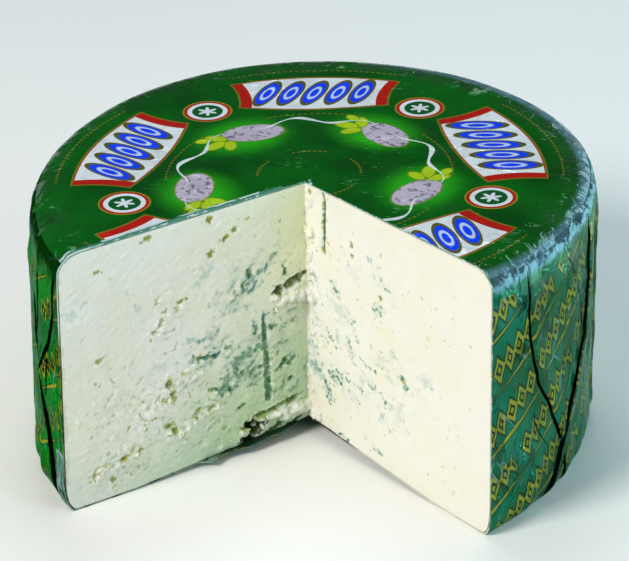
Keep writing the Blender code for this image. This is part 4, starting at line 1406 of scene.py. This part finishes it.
def foil_finish(tree, shader, colour, sharp, metal, gloss, lean, dark):
    """Green lacquer rolled on aluminium foil: tinted metal under a clear gloss, crumpled flat again, with
    painted shade and painted glints along the crumples.
    """
    place = node(tree, "ShaderNodeVectorMath", (node(tree, "place"), (1.0, 1.0, 0.6)), operation="MULTIPLY")
    warp = node(tree, "ShaderNodeTexNoise", {"Vector": place, "Scale": 70.0, "Detail": 2.0}, out=1)
    shift = node(tree, "ShaderNodeVectorMath", (warp, (-0.5, -0.5, -0.5)), operation="ADD")
    shift = node(tree, "ShaderNodeVectorMath", {0: shift, "Scale": 0.006}, operation="SCALE")
    bent = node(tree, "ShaderNodeVectorMath", (place, shift), operation="ADD")
    large = crumpled(tree, bent, 12.0, 0.16)
    small = crumpled(tree, bent, 4.6, 0.30)
    zone = node(tree, "step", (node(tree, "grains", (place, fineness(24.0), 2.0, 0.6)), 0.42, 0.60))
    wave = node(tree, "grains", (place, fineness(9.0), 3.0, 0.6))
    line = node(tree, "grains", (bent, fineness(8.0), 2.0, 0.6))
    ridge = formula(tree, "max(1 - abs(l - 0.5) * 20, 0) * 0.00036", l=line)
    height = formula(tree, "(a + b * (0.25 + z) + w * 0.0005 + r * z) * s - l",
                     a=large, b=small, z=zone, w=wave, r=ridge, s=sharp, l=lean)
    bump = node(tree, "ShaderNodeBump", {"Strength": 1.0, "Distance": 1.0, "Height": height})
    cells = {"Vector": bent, "Scale": fineness(9.0)}
    gap = node(tree, "ShaderNodeTexVoronoi", cells, feature="DISTANCE_TO_EDGE")
    panel = node(tree, "ShaderNodeSeparateColor", (node(tree, "ShaderNodeTexVoronoi", cells, out=1),))
    # Painted shade: near-black lines along the crumple edges, and some darker facets.
    crinkle_shade = formula(tree, "max(max(1 - g * 22, 0) * z * 0.6, (p - 0.35) * 0.5) * min(s, 1)",
                    g=gap, z=zone, p=panel, s=sharp)
    colour = node(tree, "lay", (crinkle_shade, colour, linear("#02140a")))
    # Painted highlight: pale glints along the crumple edges, none inside the creases.
    glint = formula(tree, "max(1 - g * 30, 0) * max(w * 9 - 4.8, 0) * (s - 0.3) * (1 - d)",
                    g=gap, w=wave, s=sharp, d=dark)
    colour = node(tree, "lay", (formula(tree, "min(g, 0.6)", g=glint), colour, linear("#8fb9be")))
    rough = formula(tree, "0.26 + (w - 0.5) * 0.25 + d * 0.6", w=wave, d=dark)
    set_shader(tree, shader, Base_Color=colour, Metallic=metal, Roughness=rough, Normal=bump,
               Coat_Normal=bump, Specular_IOR_Level=0.05, Specular_Tint=(0.15, 0.5, 0.35, 1.0),
               Coat_Weight=gloss, Coat_Roughness=0.12)


def top_fields(tree):
    """Polar and folded coordinates of the round print in mm: it repeats with each banner."""
    x, y, _ = node(tree, "ShaderNodeSeparateXYZ", (node(tree, "place"),), ALL)
    x = formula(tree, "(x - a) * 1000", x=x, a=float(AXIS[0]))
    y = formula(tree, "(y - a) * 1000", y=y, a=float(AXIS[1]))
    radius = formula(tree, "sqrt(x * x + y * y)", x=x, y=y)
    sector = math.tau / BANNERS
    turn = formula(tree, "mod(atan2(x, 0 - y) + t, q) - h", x=x, y=y,
                   t=sector / 2 - PRINT_TURN, q=sector, h=sector / 2)
    across = formula(tree, "r * sin(t)", r=radius, t=turn)
    outward = formula(tree, "r * cos(t)", r=radius, t=turn)
    return radius, turn, across, outward


def ellipse(tree, u, v, centre, size, lean=0.0):
    """Share of an ellipse's half width left, from 1 at its centre to 0 at its outline, in mm."""
    c, s = math.cos(lean), math.sin(lean)
    return formula(tree, "1 - sqrt(((u - a) * c + (v - b) * s) * ((u - a) * c + (v - b) * s) / p"
                         " + ((v - b) * c - (u - a) * s) * ((v - b) * c - (u - a) * s) / q)",
                   u=u, v=v, a=centre[0], b=centre[1], c=c, s=s, p=size[0] ** 2, q=size[1] ** 2)


def banner_print(tree, colour, u, v):
    """White banners pinched between two curved edges, with red ends and a row of blue petals."""
    side = formula(tree, "22 + 0.20 * (v - 62) + (v - 62) * (v - 62) * 0.014 - abs(u)", u=u, v=v)
    low = formula(tree, "v - 51 - u * u * 0.004", u=u, v=v)
    high = formula(tree, "76.5 - u * u * 0.006 - v", u=u, v=v)
    for code, ends, edges in (("#6f7a22", 4.6, 1.1), (RED_INK, 3.9, 0.45), (WHITE_INK, 0.0, 0.0)):
        shape = formula(tree, "min(s + e, l + g, h + g)", s=side, l=low, h=high, e=ends, g=edges)
        colour = ink(tree, colour, code, shape)
    slant = formula(tree, "u + 0.30 * (v - 64)", u=u, v=v)
    tile = formula(tree, "mod(slant + 4.1, 8.2) - 4.1", slant=slant)
    ends = formula(tree, "(20 - abs(slant)) * 3", slant=slant)
    petal = formula(tree, "1 - sqrt(t * t / 9.6 + (v - 64) * (v - 64) / 70)", t=tile, v=v)
    petal = formula(tree, "min(p * 3.1, e)", p=petal, e=ends)
    colour = ink(tree, colour, "#5e5a1c", formula(tree, "p + 0.75", p=petal))
    colour = ink(tree, colour, "#0f45ff", petal)
    return ink(tree, colour, "#cfe0f4", formula(tree, "0.35 - abs(p - 1.5)", p=petal), 0.2)


def roundel_print(tree, colour, radius, turn):
    """Rings round a small flower, midway between banners."""
    gap = formula(tree, "abs(t) - q", t=turn, q=math.pi / BANNERS)
    a = formula(tree, "r * cos(g) - 62", r=radius, g=gap)
    b = formula(tree, "r * sin(g)", r=radius, g=gap)
    disc = formula(tree, "sqrt(a * a + b * b)", a=a, b=b)
    for code, reach in (("#8f8a2a", 8.6), (RED_INK, 8.0), (WHITE_INK, 6.9), ("#0d5a26", 5.3)):
        colour = ink(tree, colour, code, formula(tree, "s - d", s=reach, d=disc))
    petal = formula(tree, "2.4 + 1.1 * cos(6 * atan2(a, b)) - d", a=a, b=b, d=disc)
    return ink(tree, colour, WHITE_INK, petal)


def leaf_print(tree, colour, place, radius, turn):
    """Under each roundel, on a bright glow: a pale speckled oval with a sprig of leaves."""
    gap = formula(tree, "mod(t, s) - q", t=turn, s=math.tau / BANNERS, q=math.pi / BANNERS)
    u = formula(tree, "r * sin(g)", r=radius, g=gap)
    v = formula(tree, "r * cos(g)", r=radius, g=gap)
    glow = ellipse(tree, u, v, (1.0, 38.0), (21.0, 17.0))
    glow = formula(tree, "step(g, 0.0, 0.75) * 0.85", g=glow)
    colour = node(tree, "lay", (glow, colour, linear("#2fb81a")))
    oval = ellipse(tree, u, v, (-3.0, 38.0), (10.5, 6.2), 0.35)
    colour = ink(tree, colour, "#5f8f2a", formula(tree, "o * 7 + 0.6", o=oval))
    colour = ink(tree, colour, "#c4bbcf", formula(tree, "o * 7", o=oval))
    speck = node(tree, "grains", (place, fineness(2.2), 3.0, 0.6))
    colour = ink(tree, colour, "#7d7488", formula(tree, "min(o * 7, (s - 0.57) * 8)", o=oval, s=speck), 0.4)
    for centre, size, lean in (((9.5, 41.5), (3.6, 2.0), 0.9), ((12.5, 37.0), (4.0, 2.1), -0.2),
                               ((8.5, 34.2), (3.4, 1.9), -1.0), ((14.0, 42.5), (2.6, 1.6), 0.3)):
        leaf = ellipse(tree, u, v, centre, size, lean)
        colour = ink(tree, colour, "#7f9c1a", formula(tree, "l * 2 + 0.35", l=leaf))
        colour = ink(tree, colour, "#b4d422", formula(tree, "l * 2", l=leaf))
    return colour


def top_print(tree, colours):
    """A plain round design: banners of petals, flower roundels, ovals with sprigs, waves and rings."""
    radius, turn, u, v = top_fields(tree)
    place = node(tree, "place")
    cloud = node(tree, "step", (node(tree, "grains", (place, fineness(33.0), 2.0, 0.6)), 0.3, 0.7))
    colour = node(tree, "lay", (cloud, colours.green, colours.green_deep))
    colour = banner_print(tree, colour, u, v)
    colour = leaf_print(tree, colour, place, radius, turn)
    colour = roundel_print(tree, colour, radius, turn)
    wave = formula(tree, "(0.8 - abs(t) * 1.4) * (1 + 0.4 * sin(22 * t)) - abs(r - 42 - 2.2 * sin(11 * t))",
                   r=radius, t=turn)
    colour = ink(tree, colour, WHITE_INK, wave)
    for ring, count, width in ((17.0, 60.0, 0.40), (83.0, 250.0, 0.35), (47.0, 140.0, 0.30)):
        dash = formula(tree, "min(w - abs(r - g), sin(t * n) + 0.2, (0.36 - abs(t)) * 40)",
                       r=radius, t=turn, g=ring, n=count, w=width)
        colour = ink(tree, colour, "#7a7420", dash)
    return colour


def side_print(tree, colours):
    """Rows of gold lozenge chains over a tapering line, climbing round the side at a slant."""
    place = node(tree, "place")
    wrap = node(tree, "ShaderNodeUVMap", uv_map="wrap")
    wrap = node(tree, "ShaderNodeSeparateXYZ", (wrap,), ALL)
    wave = node(tree, "grains", (place, fineness(8.0), 2.0, 0.6))
    u = formula(tree, "x * 1000 + kept('hidden') + (w - 0.5) * 2.4", x=wrap[0], w=wave)
    v = formula(tree, "y * 1000 + (w - 0.5) * 1.6", y=wrap[1], w=wave)
    c, s = math.cos(math.radians(31)), math.sin(math.radians(31))
    a = formula(tree, "u * c + v * s", u=u, v=v, c=c, s=s)
    b = formula(tree, "v * c - u * s", u=u, v=v, c=c, s=s)
    row = formula(tree, "floor(b / 17.5)", b=b)
    rise = formula(tree, "mod(b, 17.5) - 8.75", b=b)
    run = formula(tree, "mod(a + row * 21.5, 47) - 23.5", a=a, row=row)
    tile = formula(tree, "mod(run - 0.30 * (r - 2) + 21, 5.6) - 2.8", run=run, r=rise)
    lozenge = formula(tree, "2.9 - abs(t) - abs(r - 2) * 0.62", t=tile, r=rise)
    lozenge = formula(tree, "min(p, (21 - abs(run)) * 2)", p=lozenge, run=run)
    chain = formula(tree, "max(min(p, 1.25 - p), p - 2.15)", p=lozenge)
    line = formula(tree, "0.85 * (1 - abs(run) / 23) - abs(r + 5.0)", run=run, r=rise)
    gold = formula(tree, "min(max(k, l), 85 - v, v - 1.5)", k=chain, l=line, v=v)
    shade = formula(tree, "min(max(p + 0.7, l + 0.5), 85 - v, v - 1.5)", p=lozenge, l=line, v=v)
    cloud = node(tree, "step", (node(tree, "grains", (place, fineness(26.0), 3.0, 0.6)), 0.35, 0.62))
    colour = node(tree, "lay", (cloud, colours.side, colours.side_deep))
    x = node(tree, "ShaderNodeSeparateXYZ", (place,))
    # Painted light: the side's green is brighter on the left, where the key lamp falls.
    colour = node(tree, "lay", (node(tree, "step", (x, -0.03, -0.06)), colour, linear("#06902c")))
    thin = formula(tree, "step(x, -0.045, -0.065) * 0.2", x=x)
    colour = ink(tree, colour, "#0c3a20", formula(tree, "s - t * 2", s=shade, t=thin), 0.5)
    # Painted light: the gold is brighter on the left as well.
    gilt = node(tree, "lay", (node(tree, "step", (x, -0.03, -0.06)), linear("#98a038"), linear("#b2ac1c")))
    drawn = formula(tree, "step(g - t, -0.25, 0.25)", g=gold, t=thin)
    colour = node(tree, "lay", (drawn, colour, gilt))
    brow = formula(tree, "step(v + (w - 0.5) * 12, 84.0, 91.0)", v=v, w=wave)
    colour = node(tree, "lay", (brow, colour, colours.green))
    return colour


def crease_share(tree):
    """How much of a spot lies in the shadow of a crease, along an uneven line."""
    wave = node(tree, "grains", (node(tree, "place"), fineness(8.0), 2.0, 0.6))
    width = node(tree, "kept", ("width",))
    edge = formula(tree, "w * (0.55 + n * 0.6) * 0.6 - abs(kept('crease'))", w=width, n=wave)
    return formula(tree, "step(e, -0.22, 0.10) * min(w * 20, 1)", e=edge, w=width)


def painted_shoulder_sheen(tree, colour, share):
    """The shoulder on the right, laid pale blue-grey as a painted reflection of the lamp behind to the right.
    """
    place = node(tree, "place")
    x = node(tree, "ShaderNodeSeparateXYZ", (place,))
    sheen_mask = node(tree, "grains", (place, fineness(5.0), 2.0, 0.6))
    sheen_mask = formula(tree, "s * step(x, 0.0, 0.05) * (w * 1.8 - 0.05)", s=share, x=x, w=sheen_mask)
    return node(tree, "lay", (sheen_mask, colour, linear("#64899a")))


def bare_heel(tree, colour):
    """The bare crumpled metal low on the side, beside the left cut: pale metal with near-black patches of
    painted shade in its crumples.
    """
    place = node(tree, "place")
    wave = node(tree, "grains", (place, fineness(8.0), 2.0, 0.6))
    high = node(tree, "ShaderNodeSeparateXYZ", (place,), out=2)
    bare = formula(tree, "min(21 - z * 1000 - (w - 0.5) * 14, 6.5 - kept('off_cut'), 0 - 40 - kept('along'))",
                   z=high, w=wave)
    fold = node(tree, "grains", (place, fineness(3.0), 3.0, 0.6))
    colour = ink(tree, colour, "#9dbcb8", formula(tree, "min(b, (f - 0.44) * 20)", b=bare, f=fold), 0.5)
    # Painted shade: near-black patches between the pale ones.
    return ink(tree, colour, "#060c08", formula(tree, "min(b, (0.43 - f) * 20)", b=bare, f=fold), 0.5)


def lip_print(tree, colour):
    """The bent lip at the left cut, where the lacquer is stretched paler and has torn."""
    place = node(tree, "place")
    edge = node(tree, "grains", (place, fineness(5.0), 3.0, 0.6))
    off = node(tree, "kept", ("off_cut",))
    left = formula(tree, "0 - 8 - kept('along')")
    band = formula(tree, "min(1.5 + (e - 0.5) * 1.6 - o, l)", e=edge, o=off, l=left)
    colour = ink(tree, colour, "#3f8a6c", band, 0.2)
    torn = formula(tree, "min(0.5 - abs(o - 1.6 - (e - 0.5) * 1.6), (f - 0.50) * 9, l)",
                   o=off, e=edge, f=node(tree, "grains", (place, fineness(9.0), 1.0, 0.6)), l=left)
    return ink(tree, colour, "#cfe0e6", torn, 0.2)


def top_material(colours):
    """Printed aluminium foil pressed flat on the top: glossy lacquer, with a painted reflection at the
    shoulder on the right.
    """
    material, tree, shader = new_material("printed_foil_top")
    radius = top_fields(tree)[0]
    brow = node(tree, "step", (radius, 79.0, 88.0))
    sharp = formula(tree, "0.3 + s * 0.45", s=brow)
    x = node(tree, "ShaderNodeSeparateXYZ", (node(tree, "place"),))
    gloss = formula(tree, "0.12 + s * (0.2 + step(x, -0.05, 0.0) * 0.28)", s=brow, x=x)
    colour = painted_shoulder_sheen(tree, top_print(tree, colours), node(tree, "step", (radius, 87.0, 90.0)))
    foil_finish(tree, shader, lip_print(tree, colour), sharp, 0.2, gloss, 0.0, 0.0)
    return material


def side_material(colours):
    """Printed aluminium foil folded round the side: sharply creased, more metallic on the left."""
    material, tree, shader = new_material("printed_foil_side")
    wrap = node(tree, "ShaderNodeUVMap", uv_map="wrap")
    height = node(tree, "ShaderNodeSeparateXYZ", (wrap,), out=1)
    brow = node(tree, "step", (height, 0.072, 0.086))
    sharp = formula(tree, "1.4 - s * 0.75", s=brow)
    x = node(tree, "ShaderNodeSeparateXYZ", (node(tree, "place"),))
    dark = crease_share(tree)
    left = node(tree, "step", (x, 0.0, -0.05))
    gloss = formula(tree, "(0.22 + s * 0.36) * (1 - l * 0.8) * (1 - d)", s=brow, l=left, d=dark)
    metal = formula(tree, "0.6 + l * 0.3", l=left)
    above = formula(tree, "max(v - 0.074, 0)", v=height)
    lean = formula(tree, "a * a * 15", a=above)
    # Painted reflection: pale blue-grey at the top of the side, on the right.
    colour = painted_shoulder_sheen(tree, side_print(tree, colours), node(tree, "step", (height, 0.0860, 0.0895)))
    # Painted shade: a near-black line along each tuck and crease.
    colour = node(tree, "lay", (dark, colour, linear("#010202")))
    foil_finish(tree, shader, bare_heel(tree, colour), sharp, metal, gloss, lean, dark)
    return material


def bare_material(colours):
    """Bare aluminium at the foil's cut edge and inside: dull, with pale bits, dark green patches low down,
    near-black near the notch's corner as painted shade, olive on the left edge as a painted reflection of the
    gold print, and pale along the base on the right as painted light.
    """
    material, tree, shader = new_material("bare_foil_edge")
    place = node(tree, "place")
    x, _, high = node(tree, "ShaderNodeSeparateXYZ", (place,), ALL)
    bits = node(tree, "step", (node(tree, "grains", (place, fineness(1.8), 2.0, 0.6)), 0.54, 0.62))
    colour = node(tree, "lay", (bits, colours.edge, linear("#c9dedd")))
    fold = node(tree, "grains", (place, fineness(7.0), 3.0, 0.6))
    low = node(tree, "lay", (node(tree, "step", (fold, 0.50, 0.56)), linear("#7d9a86"), linear("#16402a")))
    # Painted shade: near-black near the notch's corner, where the base lifts off the floor.
    corner = node(tree, "ShaderNodeVectorMath", (place, tuple(APEX)), out=1, operation="DISTANCE")
    low = node(tree, "lay", (node(tree, "step", (corner, 0.040, 0.034)), low, linear("#12301c")))
    colour = node(tree, "lay", (node(tree, "step", (high, 0.030, 0.012)), colour, low))
    # On the left edge above 3 cm: olive patches, a painted reflection of the gold print beside it, among
    # near-black ones, and pale above 7 cm.
    left_edge_tint = node(tree, "step", (fold, 0.46, 0.54))
    left_edge_tint = node(tree, "lay", (left_edge_tint, linear("#8a8420"), linear("#10200c")))
    left_edge_tint = node(tree, "lay", (node(tree, "step", (high, 0.060, 0.070)), left_edge_tint, linear("#cfe2de")))
    middle = formula(tree, "step(x, -0.058, -0.062) * step(z, 0.022, 0.030)", x=x, z=high)
    colour = node(tree, "lay", (middle, colour, left_edge_tint))
    # Painted light: pale along the base on the right, lifting the shade there.
    painted_light_at_base = formula(tree, "step(x, 0.012, 0.020) * step(z, 0.005, 0.003)", x=x, z=high)
    colour = node(tree, "lay", (painted_light_at_base, colour, linear("#e2e6d4")))
    set_shader(tree, shader, Base_Color=colour, Metallic=0.3, Roughness=0.4)
    return material


# ------------------ settings


def colour_property(name, code, description):
    """A colour that a user can change, from an sRGB hex code."""
    return bpy.props.FloatVectorProperty(name=name, description=description, default=linear(code),
                                         subtype="COLOR", size=4, min=0.0, max=1.0)


class PasteSettings(bpy.types.PropertyGroup):
    """Sizes and colours of the paste."""
    relief_step: bpy.props.FloatProperty(
        name="Relief step", description="Spacing of the cut faces' points",
        default=0.00047, min=0.0003, max=0.003, unit="LENGTH")
    seed: bpy.props.IntProperty(
        name="Seed", description="Changes where mould, pits and crumbs lie", default=11)
    growth: bpy.props.FloatProperty(
        name="Growth", description="Share of the mould that has grown", default=1.0, min=0.0, max=2.0)
    pits: bpy.props.IntProperty(name="Pits", description="Small pits over both cuts", default=850, min=0)
    crumb_radius: bpy.props.FloatProperty(
        name="Crumb radius", description="Radius of a loose crumb",
        default=0.00048, min=0.0001, unit="LENGTH")
    lump_radius: bpy.props.FloatProperty(
        name="Lump radius", description="Radius of a broken lump",
        default=0.0013, min=0.0001, unit="LENGTH")
    crumb_density: bpy.props.FloatProperty(
        name="Crumbs", description="Loose pieces per square metre of broken curd",
        default=150000.0, min=0.0)
    curd: colour_property("Curd", "#f5f3e9", "Fresh curd")
    curd_warm: colour_property("Warm curd", "#f4f1df", "Yellower patches of curd")
    # Painted shade: the tint laid on the left face near the notch's corner, partly riper curd and partly
    # painted shade.
    ripe: colour_property("Ripe curd", "#bed8a2", "Riper curd towards the middle of the wheel")
    rind: colour_property("Rind", "#98a040", "Stained edge along the foil")
    bloom: colour_property("Bloom", "#afcdc0", "Pale bloom round the mould")
    mould: colour_property("Mould", "#528e8e", "Blue-green mould")
    # Greener mould where the tint of riper curd and painted shade lies.
    mould_ripe: colour_property("Ripe mould", "#568a58", "Greener mould in the ripe curd")
    mould_dark: colour_property("Dark mould", "#1e5a28", "Dense heart of the mould")
    olive: colour_property("Olive", "#86a02c", "Crevices and old pores")
    mustard: colour_property("Mustard", "#aaa80c", "Yellower crevices")
    pore: colour_property("Pore", "#1a3a08", "Dark heart of a hole")


class FoilSettings(bpy.types.PropertyGroup):
    """Sizes and colours of the foil."""
    thickness: bpy.props.FloatProperty(
        name="Wall", description="Distance between the foil's two faces where it lies flat",
        default=0.00032, min=0.0001, max=0.0005, unit="LENGTH")
    tuck_rise: bpy.props.FloatProperty(
        name="Tuck rise", description="How far a tuck's edge stands off the side",
        default=0.0012, min=0.0, max=0.003, unit="LENGTH")
    columns: bpy.props.IntProperty(
        name="Columns", description="Steps round the whole wheel", default=600, min=60)
    side_rings: bpy.props.IntProperty(name="Side rings", description="Steps down the side", default=72, min=8)
    green: colour_property("Green", "#036413", "Lacquer of the top")
    green_deep: colour_property("Deep green", "#02480c", "Darker clouds of the top")
    side: colour_property("Side", "#0a8064", "Lacquer of the side")
    side_deep: colour_property("Deep side", "#08683e", "Darker clouds of the side")
    edge: colour_property("Edge", "#4a8f80", "Bare foil at the cut")


class StageSettings(bpy.types.PropertyGroup):
    """The view and the light."""
    azimuth: bpy.props.FloatProperty(
        name="Azimuth", description="Camera's turn round the wheel from -Y", default=math.radians(9.08),
        subtype="ANGLE")
    elevation: bpy.props.FloatProperty(
        name="Elevation", description="Camera's height above the horizon", default=math.radians(28.35),
        subtype="ANGLE")
    roll: bpy.props.FloatProperty(
        name="Roll", description="Camera's tilt about its own line of sight", default=math.radians(-1.017),
        subtype="ANGLE")
    distance: bpy.props.FloatProperty(
        name="Distance", description="Camera to the point it looks at", default=0.9343, unit="LENGTH")
    lens: bpy.props.FloatProperty(
        name="Lens", description="Focal length in mm on a 36 mm sensor", default=160.07)
    target: bpy.props.FloatVectorProperty(
        name="Target", description="Point the camera looks at",
        default=(AXIS[0] + 0.00113, AXIS[1] + 0.00018, 0.05503), subtype="TRANSLATION", unit="LENGTH")
    brightness: bpy.props.FloatProperty(
        name="Brightness", description="Strength of all the lamps", default=1.0, min=0.0, max=5.0)


# ------------------ operators


def grow_mould(mesh, grid):
    """Keeps, for each point of the paste, what grows there, how far the rind's stain reaches, and how much of
    the yellow-green tint of riper curd and painted shade it gets.
    """
    place = unfold(mesh_points(mesh))
    near = np.abs(place[:, 2]) < 0.010
    along, height = place[:, 0] / MM, place[:, 1] / MM
    growth = mesh.attributes.new("growth", "FLOAT_COLOR", "POINT")
    values = np.ones((len(place), 4), np.float32)
    for channel, field in enumerate((grid.bloom, grid.olive, grid.pore)):
        values[:, channel] = np.where(near, sample(grid, field, along, height), 0.0)
    growth.data.foreach_set("color", values.ravel())
    slant = np.where(along < 0, streak_lean(-1), streak_lean(1))
    keep_number(mesh, "streak", along * np.cos(slant) + height * np.sin(slant))
    keep_number(mesh, "across", height * np.cos(slant) - along * np.sin(slant))
    for field in ("mould", "lip"):
        keep_number(mesh, field, np.where(near, sample(grid, getattr(grid, field), along, height), 0.0))
    local = mesh_points(mesh) - AXIS
    share = local[:, 2] / WHEEL_HEIGHT
    radius = np.hypot(local[:, 0], local[:, 1]) / uneven(np.arctan2(local[:, 0], -local[:, 1]))
    rim = WHEEL_RADIUS + BASE_FLARE * (1 - share) - PASTE_INSET - radius
    keep_number(mesh, "rind", fade(0.0011 - rim, 0.0, 0.0009) * fade(share, 0.06, 0.14))
    # Painted shade: the tint is strongest near the notch's corner on the left face and lower down, partly
    # riper curd and partly painted shade.
    low = np.clip(1 - 1.8 * share, 0, 1)
    ripe = fade((along + 36 + 45 * low) / (34 + 16 * low), 0.0, 1.0) * (along < 0)
    ripe *= np.clip(1.3 - 1.3 * share, 0.55, 1.2)
    keep_number(mesh, "ripe", ripe * (1 - 0.8 * fade(place[:, 2], 0.0004, 0.0015)))


def scatter_curd(loose, tree, radius, settings, curd):
    """Turns a patch of the cut faces into the loose pieces of curd that lie on it."""
    scatter = loose.modifiers.new("scatter", "NODES")
    scatter.node_group = tree
    set_inputs(scatter, tree, Crumbs_per_square_metre=settings.crumb_density,
               Crumb_radius=radius, Seed=settings.seed, Material=curd)
    make_plain(loose)
    loose.data.materials.clear()
    loose.data.materials.append(curd)
    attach(loose, "root")


class CHEESE_OT_paste(bpy.types.Operator):
    """Makes the paste with its two cut faces, and the loose crumbs and lumps on them"""
    bl_idname = "cheese.paste"
    bl_label = "Paste"

    def execute(self, context):
        settings = context.scene.cheese_paste
        grid = drawn_cut(settings)
        points, faces = turned_shape(wheel_profile(PASTE_INSET, **PASTE_RINGS), even_turn(PASTE_STEPS))
        paste = new_object("paste", settle(points), faces)
        carve(paste, cut_solid(grid))
        carve(paste, broken_curd(random.Random(settings.seed)), operation="UNION")
        grow_mould(paste.data, grid)
        paste.data.shade_smooth()
        paste.data.materials.clear()
        curd = paste_material(settings)
        paste.data.materials.append(curd)
        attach(paste, "root")
        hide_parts("cheese")
        tree = crumb_tree()
        scatter_curd(curd_patch(grid, "crumbs", crumbs_at), tree, settings.crumb_radius, settings, curd)
        scatter_curd(curd_patch(grid, "curd_lumps", lumps_at), tree, settings.lump_radius, settings, curd)
        return {"FINISHED"}


class CHEESE_OT_foil(bpy.types.Operator):
    """Makes the printed foil round the wheel"""
    bl_idname = "cheese.foil"
    bl_label = "Foil"

    def execute(self, context):
        settings = context.scene.cheese_foil
        foil = foil_shell(settings)
        above = notch_prism("notch_above", False, LIP_LEVEL, WHEEL_HEIGHT + NOTCH_SPARE)
        below = notch_prism("notch_below", True, -NOTCH_SPARE, LIP_LEVEL + LIP_OVERLAP)
        carve(foil, above, below)
        dress_foil(foil, settings)
        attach(foil, "root")
        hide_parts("foil")
        return {"FINISHED"}


def aim(azimuth, elevation):
    """The direction from the wheel to a viewer at this turn from -Y and this height."""
    flat = math.cos(elevation)
    return Vector((math.sin(azimuth) * flat, -math.cos(azimuth) * flat, math.sin(elevation)))


def pale_floor():
    """The floor that the wheel stands on: matt white board."""
    corners = ((-1, -1, 0), (1, -1, 0), (1, 1, 0), (-1, 1, 0))
    floor = new_object("floor", np.array(corners) * FLOOR_REACH, [(0, 1, 2, 3)])
    material, tree, shader = new_material("matt_white_floor")
    set_shader(tree, shader, Base_Color=linear(FLOOR_COLOUR), Roughness=0.9)
    floor.data.materials.append(material)


def soft_light(scene, target, brightness):
    """Soft lamps round the wheel, in a pale room."""
    world = bpy.data.worlds.new("studio")
    world.use_nodes = True
    background = world.node_tree.nodes["Background"]
    background.inputs["Color"].default_value = linear(WORLD_COLOUR)
    background.inputs["Strength"].default_value = WORLD_STRENGTH
    scene.world = world
    for name, (azimuth, elevation, distance, wide, tall, power, code) in LAMPS.items():
        light = bpy.data.lights.new(name, "AREA")
        light.shape = "ELLIPSE"
        light.energy = power * brightness
        light.size, light.size_y = wide, tall
        light.color = linear(code)[:3]
        lamp = bpy.data.objects.new(name, light)
        lamp.location = target + aim(math.radians(azimuth), math.radians(elevation)) * distance
        lamp.rotation_euler = (target - lamp.location).to_track_quat("-Z", "Y").to_euler()
        scene.collection.objects.link(lamp)


def photo_camera(scene, target, settings):
    """The camera at the photograph's viewing angle."""
    camera = bpy.data.cameras.new("camera")
    camera.lens, camera.sensor_width = settings.lens, SENSOR_WIDTH
    camera.clip_start, camera.clip_end = 0.05, 20.0
    view = bpy.data.objects.new("camera", camera)
    back = aim(settings.azimuth, settings.elevation)
    roll = Matrix.Rotation(settings.roll, 4, "Z").to_quaternion()
    view.rotation_mode = "QUATERNION"
    view.rotation_quaternion = (-back).to_track_quat("-Z", "Y") @ roll
    view.location = target + back * settings.distance
    scene.collection.objects.link(view)
    scene.camera = view
    scene.view_settings.view_transform = "Standard"


class CHEESE_OT_stage(bpy.types.Operator):
    """Makes the pale floor, the soft light and the camera"""
    bl_idname = "cheese.stage"
    bl_label = "Stage"

    def execute(self, context):
        settings = context.scene.cheese_stage
        target = Vector(settings.target)
        pale_floor()
        soft_light(context.scene, target, settings.brightness)
        photo_camera(context.scene, target, settings)
        return {"FINISHED"}


class CHEESE_PT_panel(bpy.types.Panel):
    """Lists the pieces of the wheel and their settings"""
    bl_idname = "CHEESE_PT_panel"
    bl_label = "Blue Cheese Wheel"
    bl_space_type = "VIEW_3D"
    bl_region_type = "UI"
    bl_category = "Cheese Wheel"

    def draw(self, context):
        for operator, group in (("cheese.paste", "cheese_paste"), ("cheese.foil", "cheese_foil"),
                                ("cheese.stage", "cheese_stage")):
            box = self.layout.box()
            box.operator(operator)
            settings = getattr(context.scene, group)
            for name in settings.__annotations__:
                box.prop(settings, name)


CLASSES = (PasteSettings, FoilSettings, StageSettings, CHEESE_OT_paste, CHEESE_OT_foil, CHEESE_OT_stage,
           CHEESE_PT_panel)


def register():
    """Adds the classes and the scene's settings."""
    for item in CLASSES:
        bpy.utils.register_class(item)
    bpy.types.Scene.cheese_paste = bpy.props.PointerProperty(type=PasteSettings)
    bpy.types.Scene.cheese_foil = bpy.props.PointerProperty(type=FoilSettings)
    bpy.types.Scene.cheese_stage = bpy.props.PointerProperty(type=StageSettings)


def unregister():
    """Takes the settings and the classes away again."""
    for name in ("cheese_paste", "cheese_foil", "cheese_stage"):
        delattr(bpy.types.Scene, name)
    for item in reversed(CLASSES):
        bpy.utils.unregister_class(item)


def main():
    """Builds every piece."""
    register()
    bpy.ops.cheese.paste()
    bpy.ops.cheese.foil()
    bpy.ops.cheese.stage()


if __name__ == "__main__":
    main()
